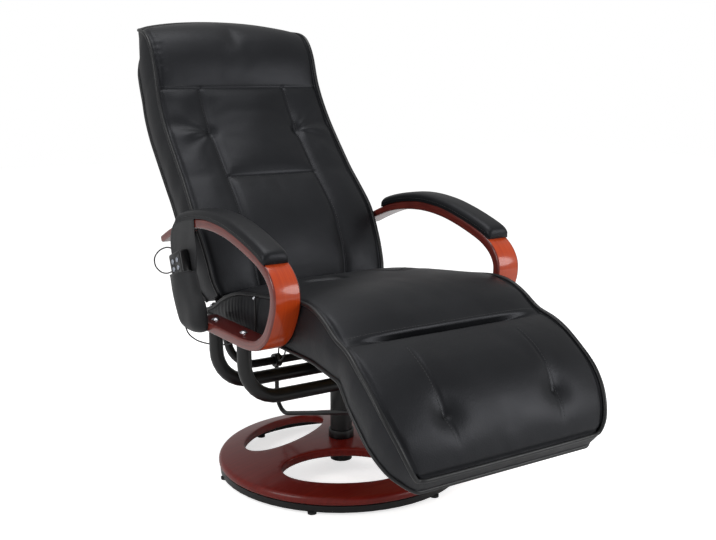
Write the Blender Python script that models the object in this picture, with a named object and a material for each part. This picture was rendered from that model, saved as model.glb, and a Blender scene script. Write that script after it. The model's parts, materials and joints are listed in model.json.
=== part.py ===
"""Massage recliner: a swivel base, bent plywood arms, and an upholstered seat, back and footrest.

Metres, +Z up. The chair faces -Y and the sitter's right arm is at -X. Sizes are measured from the floor
under the column, and the finished chair is then centred over the origin. Side outlines are lists of (y, z).
"""

import math

import bmesh
import bpy
import numpy as np
from mathutils import Matrix, Vector

# Clearances
FIT = 0.0003  # between faces that touch
PLAY = 0.0005  # round a pin that turns in its hole

# Base
BASE_RADIUS = 0.294
RIM_HEIGHT = 0.040
HUB_HEIGHT = 0.0745
DISC_THICK = 0.020
OPENING_COUNT = 3
OPENING_LENGTH = 0.280
OPENING_WIDTH = 0.154
RIM_WIDTH = 0.059
RING_WIDTH = 0.012
RING_INSET = 0.003
FOOT_COUNT = 6
FOOT_RADIUS = 0.010
FOOT_HEIGHT = 0.006
FOOT_TURN = 45.0

# Column and swivel
COLUMN_RADIUS = 0.026
COLUMN_WALL = 0.0045
COLUMN_END = 0.018
COLLAR_WALL = 0.004
COLLAR_HEIGHT = 0.020
NUT_WALL = 0.009
NUT_HEIGHT = 0.008
BUSH_WALL = 0.006
BUSH_LENGTH = 0.034
BUSH_FLANGE = 0.004
SPINDLE_LENGTH = 0.160
PLATE_LENGTH = 0.184
PLATE_WIDTH = 0.096
PLATE_THICK = 0.006

# Bent steel tubes under the seat
TUBE_RADIUS = 0.016
TUBE_SPACING = 0.140
RUN_HEIGHT = 0.232
TUBE_BEND = 0.085

# Bent plywood arms
SEAT_TO_ARM = 0.013
ARM_WIDTH = 0.055
ARM_THICK = 0.022
ARM_TIP_THICK = 0.016
RAIL_UNDERSIDE = 0.365
ARM_BOLT_RADIUS = 0.004
ARM_BOLT_HEAD = 0.009
ARM_BOLT_RISE = 0.004
ARM_BOLT_REACH = 0.025
PAD_OVERHANG = 0.003
PAD_THICK = 0.016
PAD_CROWN = 0.006
PAD_SIDES_IN = 0.0008
PAD_START = 0.485
PAD_END = 0.920

# Pivots of the recliner mechanism, as (y, z)
BACK_PIVOT = Vector((0.215, 0.379))
FOOT_PIVOT = Vector((-0.398, 0.398))
BACK_LEVER = Vector((-0.060, -0.139))
FOOT_LEVER = Vector((-0.0267, -0.0927))
RAIL_HALF_HEIGHT = 0.012
RAIL_THICK = 0.004
RAIL_DROP = 0.0175
RAIL_KNEE = 0.046
PIVOT_BOLT_RADIUS = 0.005
PIVOT_HEAD_RADIUS = 0.0085
PIVOT_HEAD_RISE = 0.006
FOOT_PIN_RADIUS = 0.004

# Seat
SEAT_UNDERSIDE = 0.372
SEAT_HALF = 0.250
SEAT_FRONT_HALF = 0.257
SEAT_CROWN = 0.020
BOARD_THICK = 0.018
BOARD_FRONT = -0.335
BOARD_REAR = 0.115
BRACKET_WIDTH = 0.030
BRACKET_LENGTH = 0.110
BRACKET_THICK = 0.004
BRACKET_INSET = 0.014
SEAT_SKIRT = 0.0215

# Backrest
BACK_DEPTH = 0.092
BACK_PANEL_THICK = 0.012
BACK_PANEL_INSET = 0.006
BACK_PANEL_CROWN = 0.006
BACK_PANEL_SIDES_IN = 0.001
BACK_TOP_DEPTH = 0.080
BACK_TOP_ARCH = 0.028
LEG_RADIUS = 0.010
LEG_SET_IN = 0.0050
LEG_DEPTH = 0.062
LEG_BEND = 0.060
LEG_SHARE = 0.70

# Footrest
ROLL_RADIUS = 0.0365
ROLL_GAP = 0.002
FOOT_CROWN = 0.020
FOOT_PLATE_THICK = 0.003
FOOT_PLATE_LENGTH = 0.150
FOOT_PLATE_START = 0.018
SLOT_PLAY = 0.005
HINGE_SLOT = ((-0.5, 0.72), (2.0, 0.72), (2.0, -2.0), (-1.6, -2.0), (-1.6, -1.7))  # in roll radii
LUG_THICK = 0.005
LUG_RADIUS = 0.0200
LUG_HOLE = 0.0128

# Push rods
ROD_RADIUS = 0.0055
ROD_SPACING = 0.180
ROD_DROP = 0.138
ROD_RISE = 0.296
ROD_BEND = 0.040
ROD_KNEE = -0.330
ROD_PIN = 0.018
EYE_WALL = 0.006
EYE_WIDTH = 0.016

# Massage motors
MOTOR_RADIUS = 0.028
MOTOR_HEIGHT = 0.026
POCKET_PLAY = 0.0015

# Handset, pouch and wiring
HANDSET_WIDTH = 0.070
HANDSET_LENGTH = 0.146
HANDSET_THICK = 0.023
HANDSET_FOOT = Vector((0.118, 0.395))
HANDSET_LEAN = 20.0
HANDSET_EDGE = 0.005
BUTTON_RADIUS = 0.0060
BUTTON_PROUD = 0.0015
BUTTON_SUNK = 0.0025
BUTTON_WELL = 0.0050
BUTTON_SPACING = 0.026
BUTTON_PITCH = 0.018
BUTTON_DOWN = 0.020
CORD_EXIT = 0.110
POUCH_WALL = 0.0035
BOX_WIDTH = 0.100
BOX_LENGTH = 0.070
BOX_HEIGHT = 0.034
BOX_IN = 0.100
BOX_BACK = 0.035
BOX_EXIT = 0.020
GLAND_RADIUS = 0.0045
GLAND_LENGTH = 0.014
CORD_RADIUS = 0.00175
CORD_NAMES = ("handset_cord", "motor_lead")

# Outlines: the arm's middle line, and the upholstery at the edge where the piping runs
ARM_PATH = ((0.125, 0.000), (0.020, 0.000), (-0.060, 0.000), (-0.110, 0.000), (-0.155, 0.0045),
            (-0.187, 0.0145), (-0.2155, 0.036),
            (-0.232, 0.060), (-0.2445, 0.086), (-0.2510, 0.110), (-0.2490, 0.136), (-0.2330, 0.160),
            (-0.206, 0.179), (-0.172, 0.193), (-0.107, 0.212), (-0.040, 0.226), (0.033, 0.232),
            (0.102, 0.228), (0.178, 0.214), (0.250, 0.189), (0.312, 0.163))
BACK_EDGE = ((-0.012, 0.026), (-0.012, 0.071), (-0.003, 0.131), (0.047, 0.216), (0.1425, 0.321),
             (0.234, 0.431), (0.280, 0.515), (0.309, 0.604), (0.346, 0.647), (0.380, 0.660))
SEAT_EDGE = ((0.152, 0.030), (0.112, 0.049), (0.040, 0.075), (-0.060, 0.089), (-0.160, 0.100),
             (-0.250, 0.111), (-0.305, 0.107), (-0.350, 0.089), (-0.392, 0.064))
FOOT_EDGE = ((-0.047, 0.022), (-0.102, -0.012), (-0.153, -0.052), (-0.192, -0.098),
             (-0.216, -0.148), (-0.216, -0.184), (-0.200, -0.203))
FOOT_REAR = ((-0.180, -0.185), (-0.017, -0.045))
POCKET_OUTLINE = ((0.103, 0.498), (0.080, 0.455), (0.054, 0.425), (0.048, 0.385), (0.060, 0.362),
                  (0.095, 0.356), (0.137, 0.364), (0.173, 0.390), (0.199, 0.430), (0.212, 0.468))
FLAP_OUTLINE = ((0.206, 0.464), (0.246, 0.564), (0.105, 0.604), (0.103, 0.490))

# Cord routes, as (distance out from the seat's right edge, y, z)
HANDSET_CORD = ((-0.0130, 0.0420, 0.3480), (-0.0020, 0.0680, 0.3280), (0.0100, 0.1020, 0.3160),
                (0.0320, 0.1330, 0.3150), (0.0500, 0.1630, 0.3210), (0.0560, 0.1960, 0.3350),
                (0.0510, 0.2200, 0.3650), (0.0450, 0.2300, 0.4150), (0.0430, 0.2360, 0.4700),
                (0.0490, 0.2500, 0.5120), (0.0650, 0.2670, 0.5260), (0.0790, 0.2880, 0.5180),
                (0.0860, 0.3060, 0.4980), (0.0860, 0.3030, 0.4780), (0.0845, 0.2750, 0.4680),
                (0.0840, 0.2400, 0.4700))
MOTOR_CORD = ((-0.0740, -0.0200, 0.3450), (-0.0620, -0.0360, 0.3150), (-0.0540, -0.0560, 0.3060),
              (-0.0540, -0.0760, 0.3220), (-0.0570, -0.0830, 0.3500))

# Half widths and crowns of the upholstery, as (share of the edge's length, size)
BACK_RISES = ((0.0, 0.006), (0.08, 0.024), (0.22, 0.030), (0.40, 0.024), (0.70, 0.018), (0.755, 0.016),
              (0.86, 0.022), (0.95, 0.016), (1.0, 0.010))
FOOT_WIDTHS = ((0.0, 0.257), (0.2, 0.265), (0.5, 0.267), (0.62, 0.261), (0.75, 0.250), (0.86, 0.235),
               (0.93, 0.220), (1.0, 0.193))
# The same, as shares of the seat's half width and of the crown
BACK_WIDTHS = ((0.0, 0.988), (0.25, 1.008), (0.40, 0.974), (0.62, 0.964), (0.78, 0.936), (0.93, 0.936),
               (1.0, 0.904))
FOOT_RISES = ((0.0, 0.2), (0.12, 0.7), (0.30, 1.0), (0.62, 1.0), (0.85, 0.7), (1.0, 0.3))
SEAT_RISES = ((0.0, 0.3), (0.2, 1.0), (0.8, 1.0), (1.0, 0.35))

# Where seams and tufts lie: shares of the half width, and of the edge's length
SEAT_COLUMNS = (0.30, 0.60, 0.82, 0.94)
BACK_COLUMNS = (0.25, 0.44, 0.516, 0.59, 0.75, 0.88, 0.96)
BACK_ROWS = (0.0, 0.04, 0.10, 0.17, 0.24, 0.31, 0.37, 0.40, 0.43, 0.49, 0.54, 0.58, 0.62, 0.68,
             0.725, 0.755, 0.785, 0.84, 0.89, 0.93, 0.965, 1.0)
PANEL_ROWS = (0.05, 0.11, 0.20, 0.30, 0.40, 0.50, 0.60, 0.70, 0.80, 0.90)
SIDE_SEAM = 0.516
PANEL_SEAM = 0.40
TUFT_ROW = 0.58
FOOT_TUFT_ROW = 0.48
HEAD_SEAM = 0.755
SIDES_IN = 0.003
SEAM_DEPTH = 0.006
SEAM_SPREAD = 0.07
ROW_SPREAD = 0.028
TUFT_DEPTH = 0.014
TUFT_SPREAD = 0.13

# What follows from the sizes above
ARM_GAP = 2 * (SEAT_HALF + SEAT_TO_ARM)
SIDE_ARM = ARM_GAP / 2 + ARM_WIDTH / 2
PLATE_UNDERSIDE = RUN_HEIGHT + TUBE_RADIUS + FIT
COLUMN_TOP = PLATE_UNDERSIDE - 2 * FIT - BUSH_FLANGE
COLUMN_BORE = COLUMN_RADIUS - COLUMN_WALL
SPINDLE_RADIUS = COLUMN_BORE - BUSH_WALL
RAIL_MIDDLE = RAIL_UNDERSIDE + ARM_THICK / 2
RAIL_INNER = SEAT_HALF - SEAT_SKIRT - RAIL_THICK - 2 * FIT
RAIL_OUTER = RAIL_INNER + RAIL_THICK
BOARD_TOP = BACK_PIVOT.y + RAIL_HALF_HEIGHT + RAIL_HALF_HEIGHT / 2
BOARD_UNDERSIDE = BOARD_TOP - BOARD_THICK
LEG_X = RAIL_INNER - LEG_SET_IN - LEG_RADIUS
LEVER_AXIS = BACK_PIVOT + BACK_LEVER
LUG_AXIS = FOOT_PIVOT + FOOT_LEVER
BOX_MIDDLE = Vector((BOX_IN - SEAT_HALF, BOX_BACK))
POUCH_INNER = ARM_GAP / 2 + ARM_WIDTH + FIT
POUCH_THICK = 2 * POUCH_WALL + HANDSET_THICK + 2 * PLAY
HANDSET_INNER = POUCH_INNER + POUCH_WALL + PLAY
HANDSET_OUTER = HANDSET_INNER + HANDSET_THICK


# Scene helpers

def clear_scene():
    for old in list(bpy.data.objects):
        bpy.data.objects.remove(old, do_unlink=True)


def material(name, colour, roughness, metallic=0.0):
    made = bpy.data.materials.new(name)
    made.use_nodes = True
    shader = made.node_tree.nodes["Principled BSDF"]
    channels = [int(colour[i:i + 2], 16) / 255 for i in (1, 3, 5)]
    linear = [c / 12.92 if c <= 0.04045 else ((c + 0.055) / 1.055) ** 2.4 for c in channels]
    shader.inputs["Base Color"].default_value = (*linear, 1.0)
    shader.inputs["Roughness"].default_value = roughness
    shader.inputs["Metallic"].default_value = metallic
    return made


def axis_empty(name, location, parent=None):
    made = bpy.data.objects.new(name, None)
    made.location = location
    bpy.context.scene.collection.objects.link(made)
    if parent:
        hang(made, parent)
    return made


def hang(child, parent):
    """Parents child and keeps its place: every empty's location is its world place."""
    child.parent = parent
    child.matrix_parent_inverse = Matrix.Translation(-parent.location)


def add(name, mesh, finish, parent, location=(0.0, 0.0, 0.0), smooth=40.0):
    made = bpy.data.objects.new(name, mesh)
    made.location = location
    bpy.context.scene.collection.objects.link(made)
    if finish and not mesh.materials:
        mesh.materials.append(finish)
    mesh.shade_smooth()
    mesh.set_sharp_from_angle(angle=math.radians(smooth))
    if parent:
        hang(made, parent)
    return made


def tool_object(name, mesh):
    """A cutter or a piece that is welded on: it isn't a piece by itself."""
    made = add(name, mesh, None, None)
    made.hide_render = True
    made.display_type = "WIRE"
    return made


def boolean(target, tool_mesh, operation, label):
    modifier = target.modifiers.new(label, "BOOLEAN")
    modifier.operation = operation
    modifier.solver = "EXACT"
    modifier.object = tool_object(f"{target.name}_{label}", tool_mesh)


def cut(target, tool_mesh, label):
    boolean(target, tool_mesh, "DIFFERENCE", label)


def weld_on(target, tool_mesh, label):
    boolean(target, tool_mesh, "UNION", label)


# Shapes

def finished(bm, name):
    bmesh.ops.recalc_face_normals(bm, faces=bm.faces)
    mesh = bpy.data.meshes.new(name)
    bm.to_mesh(mesh)
    bm.free()
    return mesh


def turned(name, profile, segments, closed=True, centre=(0.0, 0.0, 0.0), turn=None):
    """A profile of (radius, height) spun round Z, then turned and moved to its centre."""
    bm = bmesh.new()
    verts = [bm.verts.new((r, 0.0, z)) for r, z in profile]
    edges = [bm.edges.new(pair) for pair in zip(verts, verts[1:])]
    if closed:
        edges.append(bm.edges.new((verts[-1], verts[0])))
    bmesh.ops.spin(bm, geom=verts + edges, cent=(0, 0, 0), axis=(0, 0, 1), angle=math.tau,
                   steps=segments, use_merge=True)
    bmesh.ops.remove_doubles(bm, verts=bm.verts, dist=1e-6)
    place = Matrix.Translation(centre) @ (turn or Matrix.Identity(4))
    bmesh.ops.transform(bm, matrix=place, verts=bm.verts)
    return finished(bm, name)


def along_x(side):
    """Turns a shape spun round Z so that its height runs along +X or -X."""
    return Matrix.Rotation(side * math.pi / 2, 4, "Y")


def cylinder(name, radius, low, high, segments=24, centre=(0.0, 0.0, 0.0)):
    profile = ((0.0, low), (radius, low), (radius, high), (0.0, high))
    return turned(name, profile, segments, False, centre)


def pin_x(name, steps, centre, side, segments=14):
    """A stepped pin along X: (radius, from, to) for each step, outwards from the middle plane."""
    profile = [(0.0, steps[0][1])]
    for radius, start, end in steps:
        profile += [(radius, start), (radius, end)]
    profile.append((0.0, steps[-1][2]))
    return turned(name, profile, segments, False, (0.0, *centre), along_x(side))


def slab(name, outline, low, high, axis=0):
    """An outline extruded along an axis; it lies in the plane of the other two axes."""
    bm = bmesh.new()
    verts = []
    for a, b in outline:
        point = [a, b]
        point.insert(axis, low)
        verts.append(bm.verts.new(point))
    face = bm.faces.new(verts)
    grown = bmesh.ops.extrude_face_region(bm, geom=[face])
    step = [0.0, 0.0, 0.0]
    step[axis] = high - low
    moved = [v for v in grown["geom"] if isinstance(v, bmesh.types.BMVert)]
    bmesh.ops.translate(bm, vec=step, verts=moved)
    return finished(bm, name)


def block(name, low, high, edge=0.0):
    bm = bmesh.new()
    size = [b - a for a, b in zip(low, high)]
    middle = [(a + b) / 2 for a, b in zip(low, high)]
    place = Matrix.Translation(middle) @ Matrix.Diagonal((*size, 1.0))
    bmesh.ops.create_cube(bm, size=1.0, matrix=place)
    if edge:
        bmesh.ops.bevel(bm, geom=bm.edges[:], offset=edge, segments=3, profile=0.5, affect="EDGES")
    return finished(bm, name)


def tube(name, path, radius, resolution):
    """A round bar along a list of points."""
    curve = bpy.data.curves.new(name, "CURVE")
    curve.dimensions = "3D"
    curve.bevel_depth = radius
    curve.bevel_resolution = resolution
    curve.use_fill_caps = True
    spline = curve.splines.new("POLY")
    spline.points.add(len(path) - 1)
    for point, place in zip(spline.points, path):
        point.co = (*place, 1.0)
    holder = bpy.data.objects.new(name, curve)
    mesh = bpy.data.meshes.new_from_object(holder)
    bpy.data.objects.remove(holder)
    bpy.data.curves.remove(curve)
    bm = bmesh.new()
    bm.from_mesh(mesh)
    bpy.data.meshes.remove(mesh)
    bmesh.ops.remove_doubles(bm, verts=bm.verts, dist=1e-6)
    return finished(bm, name)


def rounded(corners, radius, steps=8):
    """A path of straight runs, with each inner corner replaced by an arc."""
    corners = [Vector(c) for c in corners]
    path = [corners[0]]
    for before, corner, after in zip(corners, corners[1:], corners[2:]):
        back = (before - corner).normalized()
        ahead = (after - corner).normalized()
        half = back.angle(ahead) / 2
        middle = corner + (back + ahead).normalized() * (radius / math.sin(half))
        start = corner + back * (radius / math.tan(half)) - middle
        sweep = math.pi - 2 * half
        axis = back.cross(ahead).normalized()
        path += [middle + Matrix.Rotation(-sweep * i / steps, 3, axis) @ start for i in range(steps + 1)]
    path.append(corners[-1])
    return path


def smooth_path(points, count=0, shares=()):
    """A smooth curve through points, read at even steps or at the given shares of its length."""
    p = np.array(points, float)
    ends = np.vstack([2 * p[0] - p[1], p, 2 * p[-1] - p[-2]])
    t = np.linspace(0.0, 1.0, 24, endpoint=False)[:, None]
    pieces = []
    for a, b, c, d in zip(ends, ends[1:], ends[2:], ends[3:]):
        pieces.append(0.5 * (2 * b + (c - a) * t + (2 * a - 5 * b + 4 * c - d) * t ** 2
                             + (3 * b - a - 3 * c + d) * t ** 3))
    dense = np.vstack([*pieces, p[-1:]])
    length = np.concatenate([[0.0], np.cumsum(np.linalg.norm(np.diff(dense, axis=0), axis=1))])
    wanted = np.array(shares) if len(shares) else np.linspace(0.0, 1.0, count)
    return np.column_stack([np.interp(wanted * length[-1], length, dense[:, i]) for i in range(p.shape[1])])


def read_off(table, shares):
    """Sizes between the (share, size) pairs of a table."""
    return np.interp(shares, *zip(*table))


def left_normals(path):
    """Unit normals to the left of an open (y, z) path, as seen walking along it."""
    steps = np.gradient(path, axis=0)
    steps /= np.linalg.norm(steps, axis=1)[:, None]
    return np.column_stack([-steps[:, 1], steps[:, 0]])


def upholstered(name, loop, half, rise, columns, sides_in):
    """A cushion: a closed (y, z) loop carried across the width.

    half is the half width at each loop point. rise(u, i) lifts point i outwards at share u of the
    half width. The two sides are drawn in between their edges.
    """
    loop = np.array(loop)
    around = np.roll(loop, -1, axis=0) - np.roll(loop, 1, axis=0)
    around /= np.linalg.norm(around, axis=1)[:, None]
    out = np.column_stack([around[:, 1], -around[:, 0]])
    area = np.sum(loop[:, 0] * np.roll(loop[:, 1], -1) - np.roll(loop[:, 0], -1) * loop[:, 1])
    out *= math.copysign(1.0, area)
    shares = [-u for u in reversed(columns)] + [0.0] + list(columns)
    shares = [-1.0, *shares, 1.0]
    bm = bmesh.new()
    rings = []
    for u in shares:
        ring = []
        for i, (y, z) in enumerate(loop):
            lift = rise(u, i)
            ring.append(bm.verts.new((half[i] * u, y + out[i, 0] * lift, z + out[i, 1] * lift)))
        rings.append(ring)
    count = len(loop)
    for near, far in zip(rings, rings[1:]):
        for i in range(count):
            j = (i + 1) % count
            bm.faces.new((near[i], near[j], far[j], far[i]))
    sides = [bm.faces.new(rings[0]), bm.faces.new(list(reversed(rings[-1])))]
    bmesh.ops.recalc_face_normals(bm, faces=bm.faces)
    for side in sides:
        bmesh.ops.inset_region(bm, faces=[side], thickness=3 * sides_in, depth=-sides_in)
    return finished(bm, name)


def crown(u):
    return 1.0 - abs(u) ** 4


def dip(distance, spread):
    """How deep a sewn line pulls the cover in, from 1 on the line to nothing."""
    return max(0.0, 1.0 - abs(distance) / spread)


# Base

def disc_top(radius):
    return HUB_HEIGHT - (HUB_HEIGHT - RIM_HEIGHT) * (radius / BASE_RADIUS) ** 2


def disc_underside(radius):
    return disc_top(radius) - DISC_THICK


def base_disc(finish):
    edge = DISC_THICK / 5
    bore = COLUMN_RADIUS + FIT
    rim = BASE_RADIUS - edge
    radii = np.linspace(bore, rim, 4)
    top = [(r, disc_top(r)) for r in radii]
    side = [(BASE_RADIUS, disc_top(rim) - edge), (BASE_RADIUS, disc_underside(rim) + edge)]
    under = [(r, disc_underside(r)) for r in reversed(radii)]
    disc = add("base_disc", turned("base_disc", top + side + under, 56), finish, None)
    reach = BASE_RADIUS - RIM_WIDTH - OPENING_WIDTH / 2
    angles = np.linspace(0.0, math.tau, 36, endpoint=False)
    for i in range(OPENING_COUNT):
        turn = Matrix.Rotation(math.tau * i / OPENING_COUNT, 3, "Z")
        outline = []
        for a in angles:
            radial = reach + OPENING_WIDTH / 2 * math.cos(a)
            place = turn @ Vector((radial, OPENING_LENGTH / 2 * math.sin(a), 0.0))
            outline.append((place.x, place.y))
        cut(disc, slab("opening", outline, -HUB_HEIGHT, 2 * HUB_HEIGHT, 2), f"opening_{i + 1}")


def base_ring_and_feet(steel, rubber):
    outer = BASE_RADIUS - RING_INSET
    inner = outer - RING_WIDTH
    top = disc_underside(outer) - FIT
    profile = ((outer, top), (outer, FOOT_HEIGHT), (inner, FOOT_HEIGHT), (inner, top))
    add("base_ring", turned("base_ring", profile, 56), steel, None)
    foot = cylinder("foot", FOOT_RADIUS, 0.0, FOOT_HEIGHT - FIT, 16)
    for i in range(FOOT_COUNT):
        angle = math.radians(FOOT_TURN) + math.tau * i / FOOT_COUNT
        reach = (outer + inner) / 2
        add(f"foot_{i + 1}", foot, rubber, None, (reach * math.cos(angle), reach * math.sin(angle), 0.0))


def column(steel):
    floor = COLUMN_END + 2 * COLUMN_WALL
    profile = ((0.0, COLUMN_END), (COLUMN_RADIUS, COLUMN_END), (COLUMN_RADIUS, COLUMN_TOP),
               (COLUMN_BORE, COLUMN_TOP), (COLUMN_BORE, floor), (0.0, floor))
    add("column", turned("column", profile, 32, False), steel, None)
    inner = COLUMN_RADIUS + FIT
    collar_low = disc_top(inner) + FIT
    collar = ring_profile(inner, inner + COLLAR_WALL, collar_low, collar_low + COLLAR_HEIGHT)
    add("column_collar", turned("column_collar", collar, 32), steel, None)
    nut_top = disc_underside(inner + NUT_WALL) - FIT
    nut = ring_profile(inner, inner + NUT_WALL, nut_top - NUT_HEIGHT, nut_top)
    add("column_nut", turned("column_nut", nut, 24), steel, None)


def ring_profile(inner, outer, low, high):
    return ((outer, high), (outer, low), (inner, low), (inner, high))


def swivel(axis, steel, plastic):
    inner = SPINDLE_RADIUS + FIT
    outer = COLUMN_BORE - FIT
    flange = PLATE_UNDERSIDE - FIT
    profile = ((COLUMN_RADIUS, flange), (COLUMN_RADIUS, flange - BUSH_FLANGE), (outer, flange - BUSH_FLANGE),
               (outer, flange - BUSH_LENGTH), (inner, flange - BUSH_LENGTH), (inner, flange))
    add("column_bush", turned("column_bush", profile, 24), plastic, None)
    spindle = cylinder("spindle", SPINDLE_RADIUS, flange - SPINDLE_LENGTH, flange)
    add("spindle", spindle, steel, axis)
    plate = block("swivel_plate", (-PLATE_WIDTH / 2, -PLATE_LENGTH / 2, PLATE_UNDERSIDE),
                  (PLATE_WIDTH / 2, PLATE_LENGTH / 2, PLATE_UNDERSIDE + PLATE_THICK))
    add("swivel_plate", plate, steel, axis)


# Frame

def u_tube(name, y, axis, steel):
    top = RAIL_UNDERSIDE - FIT
    corners = ((-SIDE_ARM, y, top), (-SIDE_ARM, y, RUN_HEIGHT),
               (SIDE_ARM, y, RUN_HEIGHT), (SIDE_ARM, y, top))
    bar = add(name, tube(name, rounded(corners, TUBE_BEND), TUBE_RADIUS, 5), steel, axis)
    for label, side in (("right", -1), ("left", 1)):
        hole = cylinder("hole", ARM_BOLT_RADIUS + FIT, top - ARM_BOLT_REACH - ARM_BOLT_RADIUS,
                        top + TUBE_RADIUS, 16, (side * SIDE_ARM, y, 0.0))
        cut(bar, hole, f"hole_{label}")


def arm_line():
    """The arm's middle line from the rear of its rail, with more points round the front bend."""
    rail = np.linspace(0.0, 0.18, 3)
    bend = np.linspace(0.20, 0.50, 22)
    top = np.linspace(0.525, 1.0, 20)
    shares = np.concatenate([rail, bend, top])
    path = smooth_path(ARM_PATH, shares=shares)
    path[:, 1] += RAIL_MIDDLE
    half = np.interp(shares, (0.0, 0.75, 1.0), (ARM_THICK, ARM_THICK, ARM_TIP_THICK)) / 2
    return path, half[:, None], shares


def arms(axis, wood, steel):
    middle, half, _ = arm_line()
    out = left_normals(middle)
    outline = np.vstack([middle + out * half, (middle - out * half)[::-1]])
    bolt_low = RAIL_UNDERSIDE - FIT - ARM_BOLT_REACH
    bolt_high = RAIL_UNDERSIDE + ARM_THICK + FIT
    shape = ((0.0, bolt_low), (ARM_BOLT_RADIUS, bolt_low), (ARM_BOLT_RADIUS, bolt_high),
             (ARM_BOLT_HEAD, bolt_high), (ARM_BOLT_HEAD / 2, bolt_high + ARM_BOLT_RISE),
             (0.0, bolt_high + ARM_BOLT_RISE))
    bolt = turned("arm_bolt", shape, 16, False)
    for side_name, side in (("right", -1), ("left", 1)):
        low = side * ARM_GAP / 2
        mesh = slab(f"arm_{side_name}", outline, low, low + side * ARM_WIDTH)
        arm = add(f"arm_{side_name}", mesh, wood, axis, smooth=30.0)
        for place, end in (("front", -1), ("rear", 1)):
            where = (side * SIDE_ARM, end * TUBE_SPACING / 2, 0.0)
            hole = cylinder("hole", ARM_BOLT_RADIUS + FIT, RAIL_UNDERSIDE - ARM_THICK,
                            RAIL_UNDERSIDE + 2 * ARM_THICK, 16, where)
            cut(arm, hole, f"hole_{place}")
            add(f"arm_bolt_{side_name}_{place}", bolt, steel, axis, where)


def arm_pads(axis, leather):
    middle, half, shares = arm_line()
    covered = (shares > PAD_START) & (shares < PAD_END)
    out = left_normals(middle)[covered]
    under = middle[covered] + out * (half[covered] + FIT)
    height = PAD_THICK * np.array([0.6, 0.9] + [1.0] * (len(under) - 4) + [0.85, 0.55])[:, None]
    loop = np.vstack([under, (under + out * height)[::-1]])
    width = [ARM_WIDTH / 2 + PAD_OVERHANG] * len(loop)
    count = len(under)

    def rise(u, i):
        return PAD_CROWN * crown(u) if i >= count else 0.0

    for side_name, side in (("right", -1), ("left", 1)):
        mesh = upholstered(f"arm_pad_{side_name}", loop, width, rise, (0.4, 0.75), PAD_SIDES_IN)
        add(f"arm_pad_{side_name}", mesh, leather, axis, (side * SIDE_ARM, 0.0, 0.0))


# Seat

def rail_outline():
    """The side rail: a flat bar with a round end on each pivot, raised at the front."""
    r = RAIL_HALF_HEIGHT
    knee = FOOT_PIVOT + Vector((RAIL_KNEE, -RAIL_DROP))
    slope = math.atan2(RAIL_DROP, RAIL_KNEE)

    def arc(centre, start, end, steps=8):
        angles = np.linspace(start, end, steps)
        return [(centre.x + r * math.cos(a), centre.y + r * math.sin(a)) for a in angles]

    rear = arc(BACK_PIVOT, -math.pi / 2, math.pi / 2)
    front = arc(FOOT_PIVOT, math.pi / 2 - slope, 3 * math.pi / 2 - slope)
    above = [(knee.x, knee.y + r)]
    below = arc(knee, -math.pi / 2 - slope, -math.pi / 2, 3)
    return rear + above + front + below


def seat_frame(axis, steel, wood, bright):
    outline = rail_outline()
    bolt_steps = ((PIVOT_HEAD_RADIUS, LEG_X - LEG_RADIUS - FIT - PIVOT_HEAD_RISE, LEG_X - LEG_RADIUS - FIT),
                  (PIVOT_BOLT_RADIUS, LEG_X - LEG_RADIUS - FIT, LEG_X + LEG_RADIUS + FIT),
                  (PIVOT_HEAD_RADIUS, LEG_X + LEG_RADIUS + FIT, RAIL_INNER - FIT),
                  (PIVOT_BOLT_RADIUS, RAIL_INNER - FIT, RAIL_OUTER + FIT),
                  (PIVOT_HEAD_RADIUS, RAIL_OUTER + FIT, RAIL_OUTER + FIT + PIVOT_HEAD_RISE))
    pin_steps = ((FOOT_PIN_RADIUS, RAIL_INNER - 2 * RAIL_THICK, RAIL_OUTER + FIT),
                 (2 * FOOT_PIN_RADIUS, RAIL_OUTER + FIT, RAIL_OUTER + FIT + FOOT_PIN_RADIUS / 2))
    holes = (("back", BACK_PIVOT, PIVOT_BOLT_RADIUS), ("foot", FOOT_PIVOT, FOOT_PIN_RADIUS))
    for side_name, side in (("right", -1), ("left", 1)):
        bar = slab("seat_rail", outline, side * RAIL_INNER, side * RAIL_OUTER)
        rail = add(f"seat_rail_{side_name}", bar, steel, axis)
        for label, pivot, radius in holes:
            cut(rail, pin_x("hole", ((radius + PLAY, 0.0, SEAT_HALF),), pivot, side, 16), f"hole_{label}")
        bolt = pin_x("back_pivot_bolt", bolt_steps, BACK_PIVOT, side)
        add(f"back_pivot_bolt_{side_name}", bolt, bright, axis)
        pin = pin_x("foot_pivot_pin", pin_steps, FOOT_PIVOT, side)
        add(f"foot_pivot_pin_{side_name}", pin, bright, axis)
        inner = side * BRACKET_INSET
        outer = side * (BRACKET_INSET + BRACKET_WIDTH)
        low = PLATE_UNDERSIDE + PLATE_THICK + FIT
        high = BOARD_UNDERSIDE - FIT
        wall = side * BRACKET_THICK
        channel = ((outer, low), (outer, low + BRACKET_THICK), (inner + wall, low + BRACKET_THICK),
                   (inner + wall, high - BRACKET_THICK), (outer, high - BRACKET_THICK), (outer, high),
                   (inner, high), (inner, low))
        mesh = slab("seat_bracket", channel, -BRACKET_LENGTH / 2, BRACKET_LENGTH / 2, 1)
        add(f"seat_bracket_{side_name}", mesh, steel, axis)
    half = RAIL_INNER - FIT
    board = block("seat_board", (-half, BOARD_FRONT, BOARD_UNDERSIDE), (half, BOARD_REAR, BOARD_TOP))
    add("seat_board", board, wood, axis)


def motor_mesh():
    edge = MOTOR_RADIUS / 6
    profile = ((0.0, 0.0), (MOTOR_RADIUS, 0.0), (MOTOR_RADIUS, MOTOR_HEIGHT - edge),
               (MOTOR_RADIUS - edge, MOTOR_HEIGHT), (0.0, MOTOR_HEIGHT))
    return turned("motor", profile, 20, False)


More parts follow.
